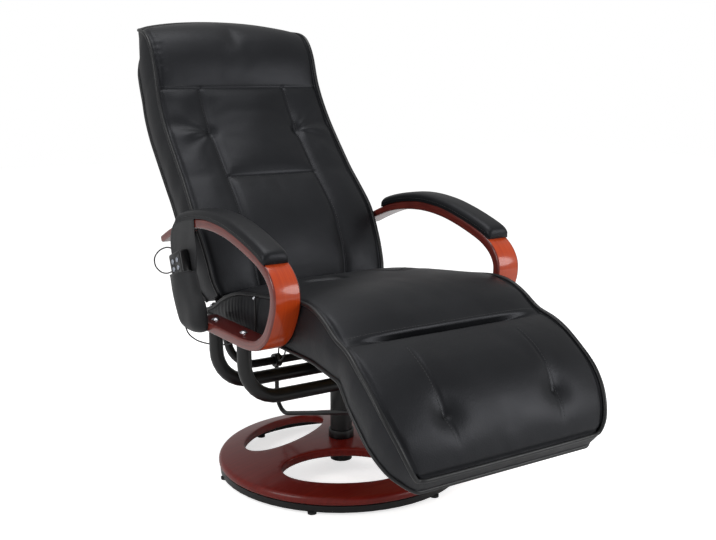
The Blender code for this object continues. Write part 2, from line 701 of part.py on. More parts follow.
def pocket_mesh(place):
    low = -2 * MOTOR_HEIGHT
    mesh = cylinder("pocket", MOTOR_RADIUS + POCKET_PLAY, low, MOTOR_HEIGHT + POCKET_PLAY, 20)
    mesh.transform(place)
    return mesh


def add_motor(name, mesh, place, finish, parent, cushion):
    """A motor standing on its board at place, in a pocket of the cushion over it."""
    motor = add(name, mesh, finish, parent)
    motor.matrix_basis = place
    cut(cushion, pocket_mesh(place), f"pocket_{name}")


def seat(axis, leather, plastic):
    shares = (0.0, 0.05, 0.13, 0.25, 0.38, 0.52, 0.66, 0.76, 0.83, 0.89, 0.95, 1.0)
    edge = smooth_path(SEAT_EDGE, shares=shares)
    edge[:, 1] += SEAT_UNDERSIDE
    under = [(edge[-1, 0], SEAT_UNDERSIDE), (0.0, SEAT_UNDERSIDE), (edge[0, 0], SEAT_UNDERSIDE)]
    loop = np.vstack([edge, under])
    wide = np.interp(-loop[:, 0], (ARM_GAP / 2, -SEAT_EDGE[-1][0]), (SEAT_HALF, SEAT_FRONT_HALF))
    rises = np.concatenate([SEAT_CROWN * read_off(SEAT_RISES, shares), np.zeros(len(under))])

    def rise(u, i):
        return rises[i] * crown(u)

    mesh = upholstered("seat_cushion", loop, wide, rise, SEAT_COLUMNS, SIDES_IN)
    cushion = add("seat_cushion", mesh, leather, axis)
    roll = pin_x("roll", ((ROLL_RADIUS + ROLL_GAP, -2 * SEAT_HALF, 2 * SEAT_HALF),), FOOT_PIVOT, 1, 48)
    cut(cushion, roll, "roll_gap")
    half = RAIL_OUTER + PIVOT_HEAD_RADIUS / 6 + FIT
    recess = block("recess", (-half, FOOT_PIVOT.x, SEAT_UNDERSIDE - BOARD_THICK),
                   (half, BACK_PIVOT.x, BOARD_TOP + FIT))
    cut(cushion, recess, "recess")
    for side_name, side in (("right", -1), ("left", 1)):
        place = Matrix.Translation((side * SEAT_HALF / 2.5, BOARD_FRONT / 4, BOARD_TOP + FIT))
        add_motor(f"seat_motor_{side_name}", motor_mesh(), place, plastic, axis, cushion)


# Backrest

def back_edge(shares):
    edge = smooth_path(BACK_EDGE, shares=shares)
    return edge + np.array(BACK_PIVOT)


def back_depth(shares):
    return np.interp(shares, (0.0, 0.90, 1.0), (BACK_DEPTH, BACK_DEPTH, BACK_TOP_DEPTH))


def offset_line(shares, depth):
    """Points of the back a depth behind its front edge."""
    fine = np.linspace(0.0, 1.0, 81)
    edge = back_edge(fine)
    out = left_normals(edge)
    line = edge - out * np.broadcast_to(depth, (81,))[:, None]
    return np.column_stack([np.interp(shares, fine, line[:, i]) for i in range(2)])


def back_cushion(axis, leather, plastic):
    rows = np.array(BACK_ROWS)
    front = back_edge(rows)
    rear_rows = np.array((1.0, 0.96, *reversed(PANEL_ROWS), 0.0))
    fine = np.linspace(0.0, 1.0, 81)
    rear = offset_line(rear_rows, back_depth(fine))
    loop = np.vstack([front, rear])
    half = SEAT_HALF * read_off(BACK_WIDTHS, np.concatenate([rows, rear_rows]))
    lift = read_off(BACK_RISES, rows)
    count = len(rows)

    def rise(u, i):
        if i >= count:
            top = max(0.0, 1.0 - abs(i - count) / 2.0)
            return BACK_TOP_ARCH * top * crown(u)
        v = rows[i]
        seams = [dip(v - HEAD_SEAM, ROW_SPREAD)]
        if v < HEAD_SEAM:
            seams.append(dip(abs(u) - SIDE_SEAM, SEAM_SPREAD))
        if abs(u) < SIDE_SEAM:
            seams.append(dip(v - PANEL_SEAM, ROW_SPREAD))
        tuft = dip(math.hypot(abs(u) - SIDE_SEAM, 3.0 * (v - TUFT_ROW)), TUFT_SPREAD)
        edge_fade = crown(u)
        arch = BACK_TOP_ARCH * max(0.0, (v - 0.93) / 0.07)
        return (lift[i] + arch) * edge_fade - (SEAM_DEPTH * max(seams) + TUFT_DEPTH * tuft) * edge_fade

    mesh = upholstered("back_cushion", loop, half, rise, BACK_COLUMNS, SIDES_IN)
    cushion = add("back_cushion", mesh, leather, axis)
    leg = leg_path(LEG_SHARE + 0.03)
    for side_name, side in (("right", -1), ("left", 1)):
        path = [(side * LEG_X, y, z) for y, z in leg]
        cut(cushion, tube("leg_tunnel", path, LEG_RADIUS + PLAY + FIT, 4), f"leg_tunnel_{side_name}")
    for level, row in (("lower", 2), ("upper", 6)):
        low, high = offset_line(np.array(PANEL_ROWS[row:row + 2]), BACK_DEPTH)
        along = Vector((0.0, *(high - low))).normalized()
        normal = Vector((0.0, -along.z, along.y))
        turn = normal.to_track_quat("Z", "X").to_matrix().to_4x4()
        for side_name, side in (("right", -1), ("left", 1)):
            centre = Vector((side * SIDE_SEAM / 2 * SEAT_HALF, *((low + high) / 2)))
            add_motor(f"back_motor_{level}_{side_name}", motor_mesh(), Matrix.Translation(centre) @ turn,
                      plastic, axis, cushion)


def back_panel(axis, leather):
    rows = np.array(PANEL_ROWS)
    near = offset_line(rows, BACK_DEPTH + FIT)
    far = offset_line(rows, BACK_DEPTH + FIT + BACK_PANEL_THICK)
    loop = np.vstack([near, far[::-1]])
    half = SEAT_HALF * read_off(BACK_WIDTHS, rows) - BACK_PANEL_INSET
    count = len(rows)

    def rise(u, i):
        return BACK_PANEL_CROWN * crown(u) if i >= count else 0.0

    mesh = upholstered("back_panel", loop, np.concatenate([half, half[::-1]]), rise, (0.5, 0.85),
                       BACK_PANEL_SIDES_IN)
    add("back_panel", mesh, leather, axis)


def leg_path(beyond=()):
    """The back frame's leg, from the lever end under the seat up into the cushion."""
    shares = np.append(np.linspace(0.12, LEG_SHARE, 9), beyond)
    inside = offset_line(shares, LEG_DEPTH)
    return np.vstack([LEVER_AXIS, BACK_PIVOT, inside])


def back_frame(axis, steel):
    leg = leg_path()
    lower = [Vector((-LEG_X, *leg[1])), Vector((-LEG_X, *leg[0])), Vector((LEG_X, *leg[0])),
             Vector((LEG_X, *leg[1]))]
    bend = rounded(lower, LEG_BEND)
    right = [(-LEG_X, y, z) for y, z in leg[:1:-1]]
    left = [(LEG_X, y, z) for y, z in leg[2:]]
    bar = add("back_frame", tube("back_frame", right + bend + left, LEG_RADIUS, 3), steel, axis)
    for side_name, side in (("right", -1), ("left", 1)):
        hole = pin_x("hole", ((PIVOT_BOLT_RADIUS + PLAY, LEG_X - 2 * LEG_RADIUS, LEG_X + 2 * LEG_RADIUS),),
                     BACK_PIVOT, side, 16)
        cut(bar, hole, f"pivot_{side_name}")


# Footrest

def foot_rear_line():
    tip = FOOT_PIVOT + Vector(FOOT_REAR[0])
    root = FOOT_PIVOT + Vector(FOOT_REAR[1])
    return root, (tip - root).normalized()


def footrest_cushion(axis, leather, plastic):
    roll = [(FOOT_PIVOT.x + ROLL_RADIUS * math.cos(a), FOOT_PIVOT.y + ROLL_RADIUS * math.sin(a))
            for a in np.radians(np.linspace(-75.0, 105.0, 11))]
    shares = (0.0, 0.08, 0.17, 0.27, 0.37, 0.43, 0.48, 0.53, 0.60, 0.69, 0.78, 0.86, 0.93, 1.0)
    edge = smooth_path(FOOT_EDGE, shares=shares) + np.array(FOOT_PIVOT)
    rear = [FOOT_PIVOT + Vector(FOOT_REAR[0]), FOOT_PIVOT + Vector(FOOT_REAR[1])]
    loop = np.vstack([roll, edge, [tuple(p) for p in rear]])
    first = len(roll)
    last = first + len(edge)
    position = np.concatenate([np.zeros(first), shares, (1.0, 0.0)])
    half = read_off(FOOT_WIDTHS, position)
    lift = read_off(FOOT_RISES, position)

    def rise(u, i):
        if not first <= i < last:
            return 0.0
        v = position[i]
        seam = SEAM_DEPTH / 2 * dip(abs(u) - SIDE_SEAM, SEAM_SPREAD) * min(1.0, 5.0 * v)
        away = math.hypot(abs(u) - SIDE_SEAM, 1.6 * (v - FOOT_TUFT_ROW))
        tuft = TUFT_DEPTH * dip(away, TUFT_SPREAD)
        return FOOT_CROWN * lift[i] * crown(u) - seam - tuft

    mesh = upholstered("footrest_cushion", loop, half, rise, BACK_COLUMNS, SIDES_IN)
    cushion = add("footrest_cushion", mesh, leather, axis)
    slot_outline = [tuple(FOOT_PIVOT + Vector(corner) * ROLL_RADIUS) for corner in HINGE_SLOT]
    for side_name, side in (("right", -1), ("left", 1)):
        ends = sorted((side * (RAIL_INNER - RAIL_THICK - SLOT_PLAY), side * (RAIL_OUTER + SLOT_PLAY)))
        slot = slab("slot", slot_outline, *ends)
        cut(cushion, slot, f"hinge_slot_{side_name}")
    root, along = foot_rear_line()
    inward = Vector((along.y, -along.x))
    spot = root + along * (FOOT_PLATE_START + FOOT_PLATE_LENGTH * 0.6)
    normal = Vector((0.0, inward.x, inward.y))
    centre = Vector((0.0, spot.x, spot.y))
    place = Matrix.Translation(centre) @ normal.to_track_quat("Z", "X").to_matrix().to_4x4()
    add_motor("footrest_motor", motor_mesh(), place, plastic, axis, cushion)


def footrest_frame(axis, steel):
    """A pressed plate behind the cushion with two hinge plates and two rod lugs welded on."""
    root, along = foot_rear_line()
    away = Vector((-along.y, along.x))
    start = root + along * FOOT_PLATE_START + away * FIT
    end = start + along * FOOT_PLATE_LENGTH
    outline = [start, end, end + away * FOOT_PLATE_THICK, start + away * FOOT_PLATE_THICK]
    half = RAIL_INNER - FIT
    frame = add("footrest_frame", slab("footrest_frame", outline, -half, half), steel, axis, smooth=30.0)
    hinge_edge = [start + along * FOOT_PLATE_THICK + away * FOOT_PLATE_THICK / 2,
                  start + along * RAIL_HALF_HEIGHT * 1.5 + away * FOOT_PLATE_THICK / 2]
    lug_edge = [start + along * FOOT_PLATE_THICK + away * FOOT_PLATE_THICK / 2,
                start + along * FOOT_PLATE_LENGTH / 2 + away * FOOT_PLATE_THICK / 2]
    lug_inner = ROD_SPACING / 2 + ROD_RADIUS + FIT
    for side_name, side in (("right", -1), ("left", 1)):
        ear = lobe(FOOT_PIVOT, RAIL_HALF_HEIGHT, hinge_edge)
        hinge = slab("hinge", ear, side * half, side * (half - RAIL_THICK))
        weld_on(frame, hinge, f"hinge_{side_name}")
        ear = lobe(LUG_AXIS, LUG_RADIUS, lug_edge)
        lug = slab("lug", ear, side * lug_inner, side * (lug_inner + LUG_THICK))
        weld_on(frame, lug, f"lug_{side_name}")
    for side_name, side in (("right", -1), ("left", 1)):
        pin_hole = pin_x("hole", ((FOOT_PIN_RADIUS + PLAY, half - 2 * RAIL_THICK, half + RAIL_THICK),),
                         FOOT_PIVOT, side, 16)
        cut(frame, pin_hole, f"hinge_hole_{side_name}")
        rod_steps = ((LUG_HOLE, lug_inner - LUG_THICK, lug_inner + 2 * LUG_THICK),)
        rod_hole = pin_x("hole", rod_steps, LUG_AXIS, side, 20)
        cut(frame, rod_hole, f"lug_hole_{side_name}")


def lobe(centre, radius, foot):
    """A plate outline: a round end about centre, running to the two foot points."""
    middle = (foot[0] + foot[1]) / 2
    facing = math.atan2(centre.y - middle.y, centre.x - middle.x)
    across = foot[1] - foot[0]
    turn = math.copysign(1.0, across.x * math.sin(facing) - across.y * math.cos(facing))
    angles = np.linspace(facing + turn * math.pi / 2, facing - turn * math.pi / 2, 12)
    ring = [(centre.x + radius * math.cos(a), centre.y + radius * math.sin(a)) for a in angles]
    return [tuple(foot[0])] + ring + [tuple(foot[1])]


def push_rods(axis, steel):
    eye_inner = LEG_RADIUS + PLAY
    eye_outer = eye_inner + EYE_WALL
    for side_name, side in (("right", -1), ("left", 1)):
        x = side * ROD_SPACING / 2
        top = LEVER_AXIS.y - eye_inner - EYE_WALL / 3
        corner = LEVER_AXIS.y - ROD_DROP
        knee = corner + ROD_RISE * (LEVER_AXIS.x - ROD_KNEE)
        corners = ((x, LEVER_AXIS.x, top), (x, LEVER_AXIS.x, corner), (x, ROD_KNEE, knee),
                   (x, LUG_AXIS.x, LUG_AXIS.y))
        path = rounded(corners, ROD_BEND, 5)
        turn_out = (path[-2], (x, *LUG_AXIS), (x + side * ROD_PIN, *LUG_AXIS))
        path[-1:] = rounded(turn_out, 2 * ROD_RADIUS, 4)[1:]
        rod = add(f"push_rod_{side_name}", tube("push_rod", path, ROD_RADIUS, 2), steel, axis)
        profile = ring_profile(eye_inner, eye_outer, -EYE_WIDTH / 2, EYE_WIDTH / 2)
        eye = turned("eye", profile, 16, True, (x, *LEVER_AXIS), along_x(1))
        weld_on(rod, eye, "eye")


# Handset, pouch and wiring

def handset_place():
    """From the handset's own upright frame, with its foot's middle at the origin, to the chair."""
    middle = -(HANDSET_INNER + HANDSET_OUTER) / 2
    lean = Matrix.Rotation(-math.radians(HANDSET_LEAN), 4, "X")
    return Matrix.Translation((middle, *HANDSET_FOOT)) @ lean


def handset(axis, plastic, keys):
    place = handset_place()
    half = Vector((HANDSET_THICK / 2, HANDSET_WIDTH / 2))
    shape = block("handset_case", (*-half, 0.0), (*half, HANDSET_LENGTH), HANDSET_EDGE)
    shape.transform(place)
    case = add("handset_case", shape, plastic, axis)
    edge = BUTTON_PROUD / 2
    well = ((BUTTON_RADIUS + FIT, HANDSET_OUTER - BUTTON_WELL, HANDSET_OUTER + BUTTON_WELL),)
    steps = ((BUTTON_RADIUS, HANDSET_OUTER - BUTTON_SUNK, HANDSET_OUTER + edge),
             (BUTTON_RADIUS - edge, HANDSET_OUTER + BUTTON_PROUD, HANDSET_OUTER + BUTTON_PROUD))
    for i in range(4):
        across = (i % 2 - 0.5) * BUTTON_SPACING
        up = HANDSET_LENGTH - BUTTON_DOWN - i // 2 * BUTTON_PITCH
        _, y, z = place @ Vector((0.0, across, up))
        cut(case, pin_x("well", well, (y, z), -1), f"well_{i + 1}")
        button_axis = axis_empty(f"button_axis_{i + 1}", (-HANDSET_OUTER, y, z), axis)
        add(f"handset_button_{i + 1}", pin_x("handset_button", steps, (y, z), -1), keys, button_axis)


def pouch(axis, cloth):
    outer = -(POUCH_INNER + POUCH_THICK)
    bag = add("pouch", slab("pouch", POCKET_OUTLINE, outer, -POUCH_INNER), cloth, axis)
    weld_on(bag, slab("flap", FLAP_OUTLINE, -POUCH_INNER - POUCH_WALL, -POUCH_INNER), "flap")
    half = Vector((HANDSET_THICK / 2 + PLAY, HANDSET_WIDTH / 2 + PLAY))
    cavity = block("cavity", (*-half, -FIT), (*half, 2 * HANDSET_LENGTH))
    cavity.transform(handset_place())
    cut(bag, cavity, "cavity")


def control_box(axis, plastic):
    high = BOARD_UNDERSIDE - FIT
    half = Vector((BOX_WIDTH / 2, BOX_LENGTH / 2))
    a = BOX_MIDDLE - half
    b = BOX_MIDDLE + half
    box = block("control_box", (*a, high - BOX_HEIGHT), (*b, high), HANDSET_EDGE / 2)
    add("control_box", box, plastic, axis)
    shape = ((0.0, 0.0), (GLAND_RADIUS, 0.0), (0.6 * GLAND_RADIUS, GLAND_LENGTH), (0.0, GLAND_LENGTH))
    gland = turned("cord_gland", shape, 16, False, (a.x - FIT, BOX_MIDDLE.y, high - BOX_EXIT), along_x(-1))
    add("cord_gland", gland, plastic, axis)


def cords(axis, rubber):
    """Each cord runs straight for a little way where it leaves a piece, then along its route."""
    lead = 6 * CORD_RADIUS
    high = BOARD_UNDERSIDE - FIT
    gland = BOX_MIDDLE.x - BOX_WIDTH / 2 - 2 * FIT - GLAND_LENGTH
    start = [(gland - step, BOX_MIDDLE.y, high - BOX_EXIT) for step in (0.0, lead)]
    reach = HANDSET_WIDTH / 2 + FIT
    end = [tuple(handset_place() @ Vector((0.0, reach + step, CORD_EXIT))) for step in (2 * lead, lead, 0.0)]
    front = BOX_MIDDLE.y - BOX_LENGTH / 2 - FIT
    out = [(BOX_MIDDLE.x - BOX_EXIT, front - step, high - BOX_EXIT) for step in (0.0, lead)]
    to_handset, to_motor = (
        [(-SEAT_HALF - x, y, z) for x, y, z in route] for route in (HANDSET_CORD, MOTOR_CORD))
    up = [(*to_motor[-1][:2], high - step) for step in (lead, 0.0)]
    routes = ([*start, *to_handset, *end], [*out, *to_motor, *up])
    for name, route, count in zip(CORD_NAMES, routes, (76, 24)):
        path = [tuple(point) for point in smooth_path(route, count)]
        add(name, tube(name, path, CORD_RADIUS, 2), rubber, axis)


# Assembly

def centre_over_origin():
    """Moves the whole chair so that the middle of its box, cords aside, stands over the origin."""
    bpy.context.view_layer.update()
    graph = bpy.context.evaluated_depsgraph_get()
    corners = []
    for piece in bpy.context.scene.objects:
        if piece.type == "MESH" and not piece.hide_render and piece.name not in CORD_NAMES:
            solid = piece.evaluated_get(graph)
            corners += [solid.matrix_world @ vertex.co for vertex in solid.data.vertices]
    corners = np.array(corners)
    middle = (corners.min(axis=0) + corners.max(axis=0)) / 2
    for piece in bpy.context.scene.objects:
        if piece.parent is None:
            piece.location -= Vector((middle[0], middle[1], 0.0))


def build():
    clear_scene()
    leather = material("black_leather", "#2a2b2d", 0.42)
    mahogany = material("mahogany_lacquer", "#4a1a18", 0.25)
    cherry = material("cherry_lacquer", "#8a2f14", 0.22)
    steel = material("black_powder_coat", "#161617", 0.45, 0.2)
    bright = material("zinc_plate", "#b8bac0", 0.3, 1.0)
    plastic = material("black_plastic", "#1b1c1e", 0.4)
    keys = material("silver_plastic", "#9a9da2", 0.35)
    rubber = material("black_rubber", "#141414", 0.7)
    ply = material("birch_plywood", "#b08a5a", 0.6)
    cloth = material("black_nylon", "#1c1d1f", 0.75)

    base_disc(mahogany)
    base_ring_and_feet(steel, rubber)
    column(steel)
    frame = axis_empty("swivel_axis", (0.0, 0.0, 0.0))
    swivel(frame, steel, plastic)
    u_tube("front_u_tube", -TUBE_SPACING / 2, frame, steel)
    u_tube("rear_u_tube", TUBE_SPACING / 2, frame, steel)
    arms(frame, cherry, bright)
    arm_pads(frame, leather)
    seat_frame(frame, steel, ply, bright)
    seat(frame, leather, plastic)
    control_box(frame, plastic)
    cords(frame, rubber)

    recline = axis_empty("recline_axis", (0.0, *BACK_PIVOT), frame)
    back_frame(recline, steel)
    back_cushion(recline, leather, plastic)
    back_panel(recline, leather)
    lift = axis_empty("footrest_axis", (0.0, *FOOT_PIVOT), frame)
    footrest_cushion(lift, leather, plastic)
    footrest_frame(lift, steel)
    link = axis_empty("link_axis", (0.0, *LEVER_AXIS), recline)
    push_rods(link, steel)
    pouch(frame, cloth)
    handset(axis_empty("handset_axis", handset_place().translation, frame), plastic, keys)
    centre_over_origin()


build()
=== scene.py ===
"""Looks of a massage recliner: its upholstery, lacquered wood, coated steel, cords and stage."""

import json
import math

import bmesh
import bpy
import numpy as np
from mathutils import Matrix, Vector, kdtree

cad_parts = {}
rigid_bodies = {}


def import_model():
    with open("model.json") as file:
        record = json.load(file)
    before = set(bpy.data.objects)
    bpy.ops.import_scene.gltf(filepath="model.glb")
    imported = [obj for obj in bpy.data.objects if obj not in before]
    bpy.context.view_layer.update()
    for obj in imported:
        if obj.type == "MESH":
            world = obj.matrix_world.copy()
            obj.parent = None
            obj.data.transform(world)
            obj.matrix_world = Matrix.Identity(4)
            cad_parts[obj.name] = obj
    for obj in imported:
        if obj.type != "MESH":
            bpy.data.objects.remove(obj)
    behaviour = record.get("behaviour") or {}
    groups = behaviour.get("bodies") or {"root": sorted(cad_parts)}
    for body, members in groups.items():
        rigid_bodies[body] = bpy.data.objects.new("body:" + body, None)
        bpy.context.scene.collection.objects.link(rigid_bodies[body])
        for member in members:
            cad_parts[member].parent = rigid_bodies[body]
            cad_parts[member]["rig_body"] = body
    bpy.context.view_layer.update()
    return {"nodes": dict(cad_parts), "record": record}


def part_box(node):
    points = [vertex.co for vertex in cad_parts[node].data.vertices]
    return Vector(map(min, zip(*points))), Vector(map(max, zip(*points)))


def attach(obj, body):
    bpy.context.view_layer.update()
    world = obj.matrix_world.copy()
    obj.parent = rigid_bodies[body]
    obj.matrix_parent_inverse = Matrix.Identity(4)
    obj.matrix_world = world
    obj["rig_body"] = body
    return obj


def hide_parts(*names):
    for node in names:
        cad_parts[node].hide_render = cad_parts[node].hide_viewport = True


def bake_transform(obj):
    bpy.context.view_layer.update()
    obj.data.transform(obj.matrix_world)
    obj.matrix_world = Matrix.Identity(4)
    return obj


for left_over in list(bpy.data.objects):
    bpy.data.objects.remove(left_over, do_unlink=True)
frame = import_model()
nodes = frame["nodes"]
slot_of = {part["node"]: part["material_slot"] for part in frame["record"]["subparts"]}

# The chair's own sizes are measured from the floor under the column
column_low, column_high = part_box("column")
SHIFT = Vector(((column_low.x + column_high.x) / 2, (column_low.y + column_high.y) / 2, 0.0))

# Camera
CAMERA_PLACE = Vector((-1.243, -1.979, 0.942))
CAMERA_TURN = (78.85, 0.0, -33.13)
CAMERA_LENS = 51.16

# Light: the room's level, the floor's own share of white, and lamps as (name, place, size, watts)
ROOM_LIGHT = 0.44
FLOOR_GLOW = 0.66
FLOOR_SIZE = 8.0
MIRRORED_SHARE = 0.10
LAMPS = (("key", (1.8, -2.7, 1.5), 1.8, 47.0), ("fill", (-2.6, -0.25, 1.6), 1.4, 26.0),
         ("top", (-0.2, 0.3, 3.2), 2.0, 38.0))
LAMP_AIM = Vector((0.0, 0.0, 0.5))
WHITE = (1.0, 1.0, 1.0, 1.0)

# Sizes in metres, as in the solids; the arms' bend and the cushions' ends are drawn a little fuller
FIT = 0.0003
BASE_RADIUS = 0.294
RIM_HEIGHT = 0.040
HUB_HEIGHT = 0.0745
DISC_THICK = 0.020
OPENING_LENGTH = 0.280
OPENING_WIDTH = 0.154
RIM_WIDTH = 0.059
RIM_ANGLE = 1.0  # radians
RIM_BEVEL = 0.0085
OPENING_BEVEL = 0.0035
COLUMN_RADIUS = 0.026
ARM_GAP = 0.526
ARM_WIDTH = 0.055
ARM_THICK = 0.022
ARM_TIP_THICK = 0.016
ARM_BEND_EXTRA = 0.006
RAIL_MIDDLE = 0.376
SIDE_ARM = ARM_GAP / 2 + ARM_WIDTH / 2
PAD_OVERHANG = 0.003
PAD_HEIGHT = 0.022
PAD_START = 0.485
PAD_END = 0.900
BACK_PIVOT = Vector((0.215, 0.379))
FOOT_PIVOT = Vector((-0.398, 0.398))
SEAT_UNDERSIDE = 0.372
SEAT_FRONT = -0.300
CREASE_PLACE = -0.412
CREASE_UNDERSIDE = (-0.405, 0.358)
BOARD_TOP = 0.397
FRONT_ROOF = 0.413
SEAT_HALF = 0.250
SEAT_FRONT_HALF = 0.257
SEAT_CROWN = 0.020
FOOT_CROWN = 0.020
BACK_TOP_ARCH = 0.012
BACK_TOP_PEAK = 0.014
BACK_PANEL_THICK = 0.012
BACK_PANEL_INSET = 0.006
HANDSET_WIDTH = 0.070
HANDSET_FOOT = Vector((0.118, 0.395))
HANDSET_LEAN = 20.0
HANDSET_MIDDLE = -0.3338
CORD_EXIT = 0.110
CORD_RADIUS = 0.00175
CORD_LEVEL = 0.3587
GLAND_EXIT = (-0.2146, 0.035)
MOTOR_CORD_EXIT = -0.170
MOTOR_CORD_TOP = 0.3787
CORD_SPAN = (-0.3130, -0.3335)
POUCH_INNER = 0.3183
POUCH_THICK = 0.031
TIE_PLACE = (0.2588, -0.064)
TIE_LOW = 0.370
TIE_HIGH = 0.4620
TIE_WIDTH = 0.0055
TIE_THICK = 0.0024
TIE_BEVEL = 0.0006
TIE_SCREW_RADIUS = 0.0036
TIE_SCREW_PROUD = 0.001
TIE_SCREW_DROP = 0.004

# Side outlines as (y, z), and widths, depths and rises as (share of the length, size)
ARM_PATH = ((0.125, 0.000), (0.020, 0.000), (-0.060, 0.000), (-0.110, 0.000), (-0.155, 0.0045),
            (-0.187, 0.0145), (-0.2155, 0.036), (-0.232, 0.060), (-0.2445, 0.086), (-0.2510, 0.110),
            (-0.2490, 0.136), (-0.2330, 0.160), (-0.206, 0.179), (-0.172, 0.193), (-0.107, 0.212),
            (-0.040, 0.226), (0.033, 0.232), (0.102, 0.228), (0.178, 0.214), (0.250, 0.189), (0.312, 0.163))
BACK_EDGE = ((-0.0455, 0.0375), (-0.029, 0.076), (-0.006, 0.131), (0.047, 0.216), (0.1425, 0.321),
             (0.234, 0.431), (0.280, 0.515), (0.309, 0.604), (0.352, 0.653), (0.432, 0.665))
BACK_DEPTHS = ((0.0, 0.068), (0.05, 0.086), (0.14, 0.094), (0.55, 0.095), (0.68, 0.103))
BACK_HEAD_START = 0.66
BACK_TOP_REAR = (-0.020, -0.070)
SEAT_EDGE = ((0.205, 0.006), (0.176, 0.015), (0.150, 0.028), (0.112, 0.049), (0.040, 0.075), (-0.060, 0.089),
             (-0.160, 0.100), (-0.250, 0.111), (-0.305, 0.107), (-0.350, 0.089), (-0.392, 0.064))
FOOT_EDGE = ((-0.047, 0.022), (-0.102, -0.012), (-0.153, -0.052), (-0.192, -0.098),
             (-0.214, -0.146), (-0.217, -0.176))
FOOT_REAR_BEND = (-0.162, -0.1695)
FOOT_REAR_TIP = (-0.199, -0.204)
FOOT_TIP_TAPER = 0.016
BACK_WIDTHS = ((0.0, 0.234), (0.042, 0.243), (0.23, 0.252), (0.38, 0.2435), (0.60, 0.241), (0.757, 0.235),
               (0.91, 0.235), (0.96, 0.230), (1.0, 0.223))
BACK_RISES = ((0.0, 0.006), (0.06, 0.024), (0.20, 0.030), (0.38, 0.024), (0.68, 0.018), (0.735, 0.016),
              (0.84, 0.022), (0.93, 0.016), (1.0, 0.010))
FOOT_WIDTHS = ((0.0, 0.257), (0.225, 0.265), (0.56, 0.267), (0.70, 0.261), (0.84, 0.250), (0.95, 0.238),
               (1.0, 0.229))
FOOT_RISES = ((0.0, 0.2), (0.12, 0.7), (0.30, 1.0), (0.62, 1.0), (0.85, 0.7), (1.0, 0.3))
SEAT_RISES = ((0.0, 0.1), (0.24, 1.0), (0.8, 1.0), (1.0, 0.35))
SIDE_SEAM = 0.516
PANEL_SEAM = 0.374
TUFT_ROW = 0.544
FOOT_TUFT_HEIGHT = 0.320
HEAD_SEAM = 0.706
HANDSET_CORD = ((-0.2370, 0.0420, 0.3480), (-0.2480, 0.0680, 0.3280), (-0.2600, 0.1020, 0.3160),
                (-0.2820, 0.1330, 0.3150), (-0.3000, 0.1630, 0.3210), (-0.3060, 0.1960, 0.3350),
                (-0.3010, 0.2200, 0.3650), (-0.2950, 0.2300, 0.4150), (-0.2930, 0.2360, 0.4700),
                (-0.2990, 0.2500, 0.5120), (-0.3150, 0.2670, 0.5260), (-0.3290, 0.2880, 0.5180),
                (-0.3360, 0.3060, 0.4980), (-0.3360, 0.3030, 0.4780), (-0.3345, 0.2750, 0.4680),
                (-0.3340, 0.2400, 0.4700))
MOTOR_CORD = ((-0.1760, -0.0200, 0.3450), (-0.1880, -0.0360, 0.3150), (-0.1960, -0.0560, 0.3060),
              (-0.1960, -0.0760, 0.3220), (-0.1930, -0.0830, 0.3500))
POCKET_LEFT = ((0.054, 0.368), (0.048, 0.385), (0.054, 0.425), (0.080, 0.455), (0.103, 0.498))
POCKET_RIGHT = ((0.137, 0.364), (0.173, 0.390), (0.199, 0.430), (0.209, 0.455), (0.212, 0.468))
FLAP_FRONT = ((0.103, 0.484), (0.098, 0.548), (0.105, 0.582), (0.107, 0.6165))
FLAP_REAR = ((0.208, 0.462), (0.240, 0.520), (0.2375, 0.568), (0.209, 0.6015))

# Sizes of the upholstery's own details
PIPING_RADIUS = 0.0046
PIPING_PROUD = 0.0014
STITCH_PITCH = 0.0065
STITCH_LENGTH = 0.0046
STITCH_WIDTH = 0.0013


# Materials

def linear(code):
    """An sRGB hex colour as linear RGBA."""
    parts = [int(code[i:i + 2], 16) / 255 for i in (1, 3, 5)]
    return (*[c / 12.92 if c <= 0.04045 else ((c + 0.055) / 1.055) ** 2.4 for c in parts], 1.0)


def put(tree, kind, inputs, stops=(), **settings):
    """Adds a node with its settings, colour stops, values and links; a node links by its first output."""
    made = tree.nodes.new(kind)
    for name, value in settings.items():
        setattr(made, name, value)
    for i, (place, code) in enumerate(stops):
        made.color_ramp.elements[i].position = place
        made.color_ramp.elements[i].color = linear(code)
    for socket, value in inputs.items():
        if isinstance(value, bpy.types.Node):
            value = value.outputs[0]
        if isinstance(value, bpy.types.NodeSocket):
            tree.links.new(value, made.inputs[socket])
        else:
            made.inputs[socket].default_value = value
    return made


def new_material(name):
    made = bpy.data.materials.new(name)
    made.use_nodes = True
    made.node_tree.nodes.clear()
    return made, made.node_tree


def mapped_material(name):
    """A new material with each point's place in metres."""
    made, tree = new_material(name)
    return made, tree, put(tree, "ShaderNodeTexCoord", {}).outputs["Object"]


def surface(made, **sockets):
    """Gives a material its shader, with socket names written with underscores for spaces."""
    inputs = {name.replace("_", " "): value for name, value in sockets.items()}
    shader = put(made.node_tree, "ShaderNodeBsdfPrincipled", inputs)
    put(made.node_tree, "ShaderNodeOutputMaterial", {"Surface": shader})
    return made


def mottle(tree, place, size, detail, tones, shine, at=(0.35, 0.65), **more):
    """Noise of a size in metres, its tone between two colours, and a roughness or its range."""
    cloud = put(tree, "ShaderNodeTexNoise", {"Vector": place, "Scale": 1 / size, "Detail": detail, **more})
    tone = put(tree, "ShaderNodeValToRGB", {"Fac": cloud}, stops=tuple(zip(at, tones)))
    if isinstance(shine, tuple):
        shine = put(tree, "ShaderNodeMapRange", {"Value": cloud, "From Min": 0.3, "From Max": 0.7,
                                                 "To Min": shine[0], "To Max": shine[1]})
    return cloud, tone, shine


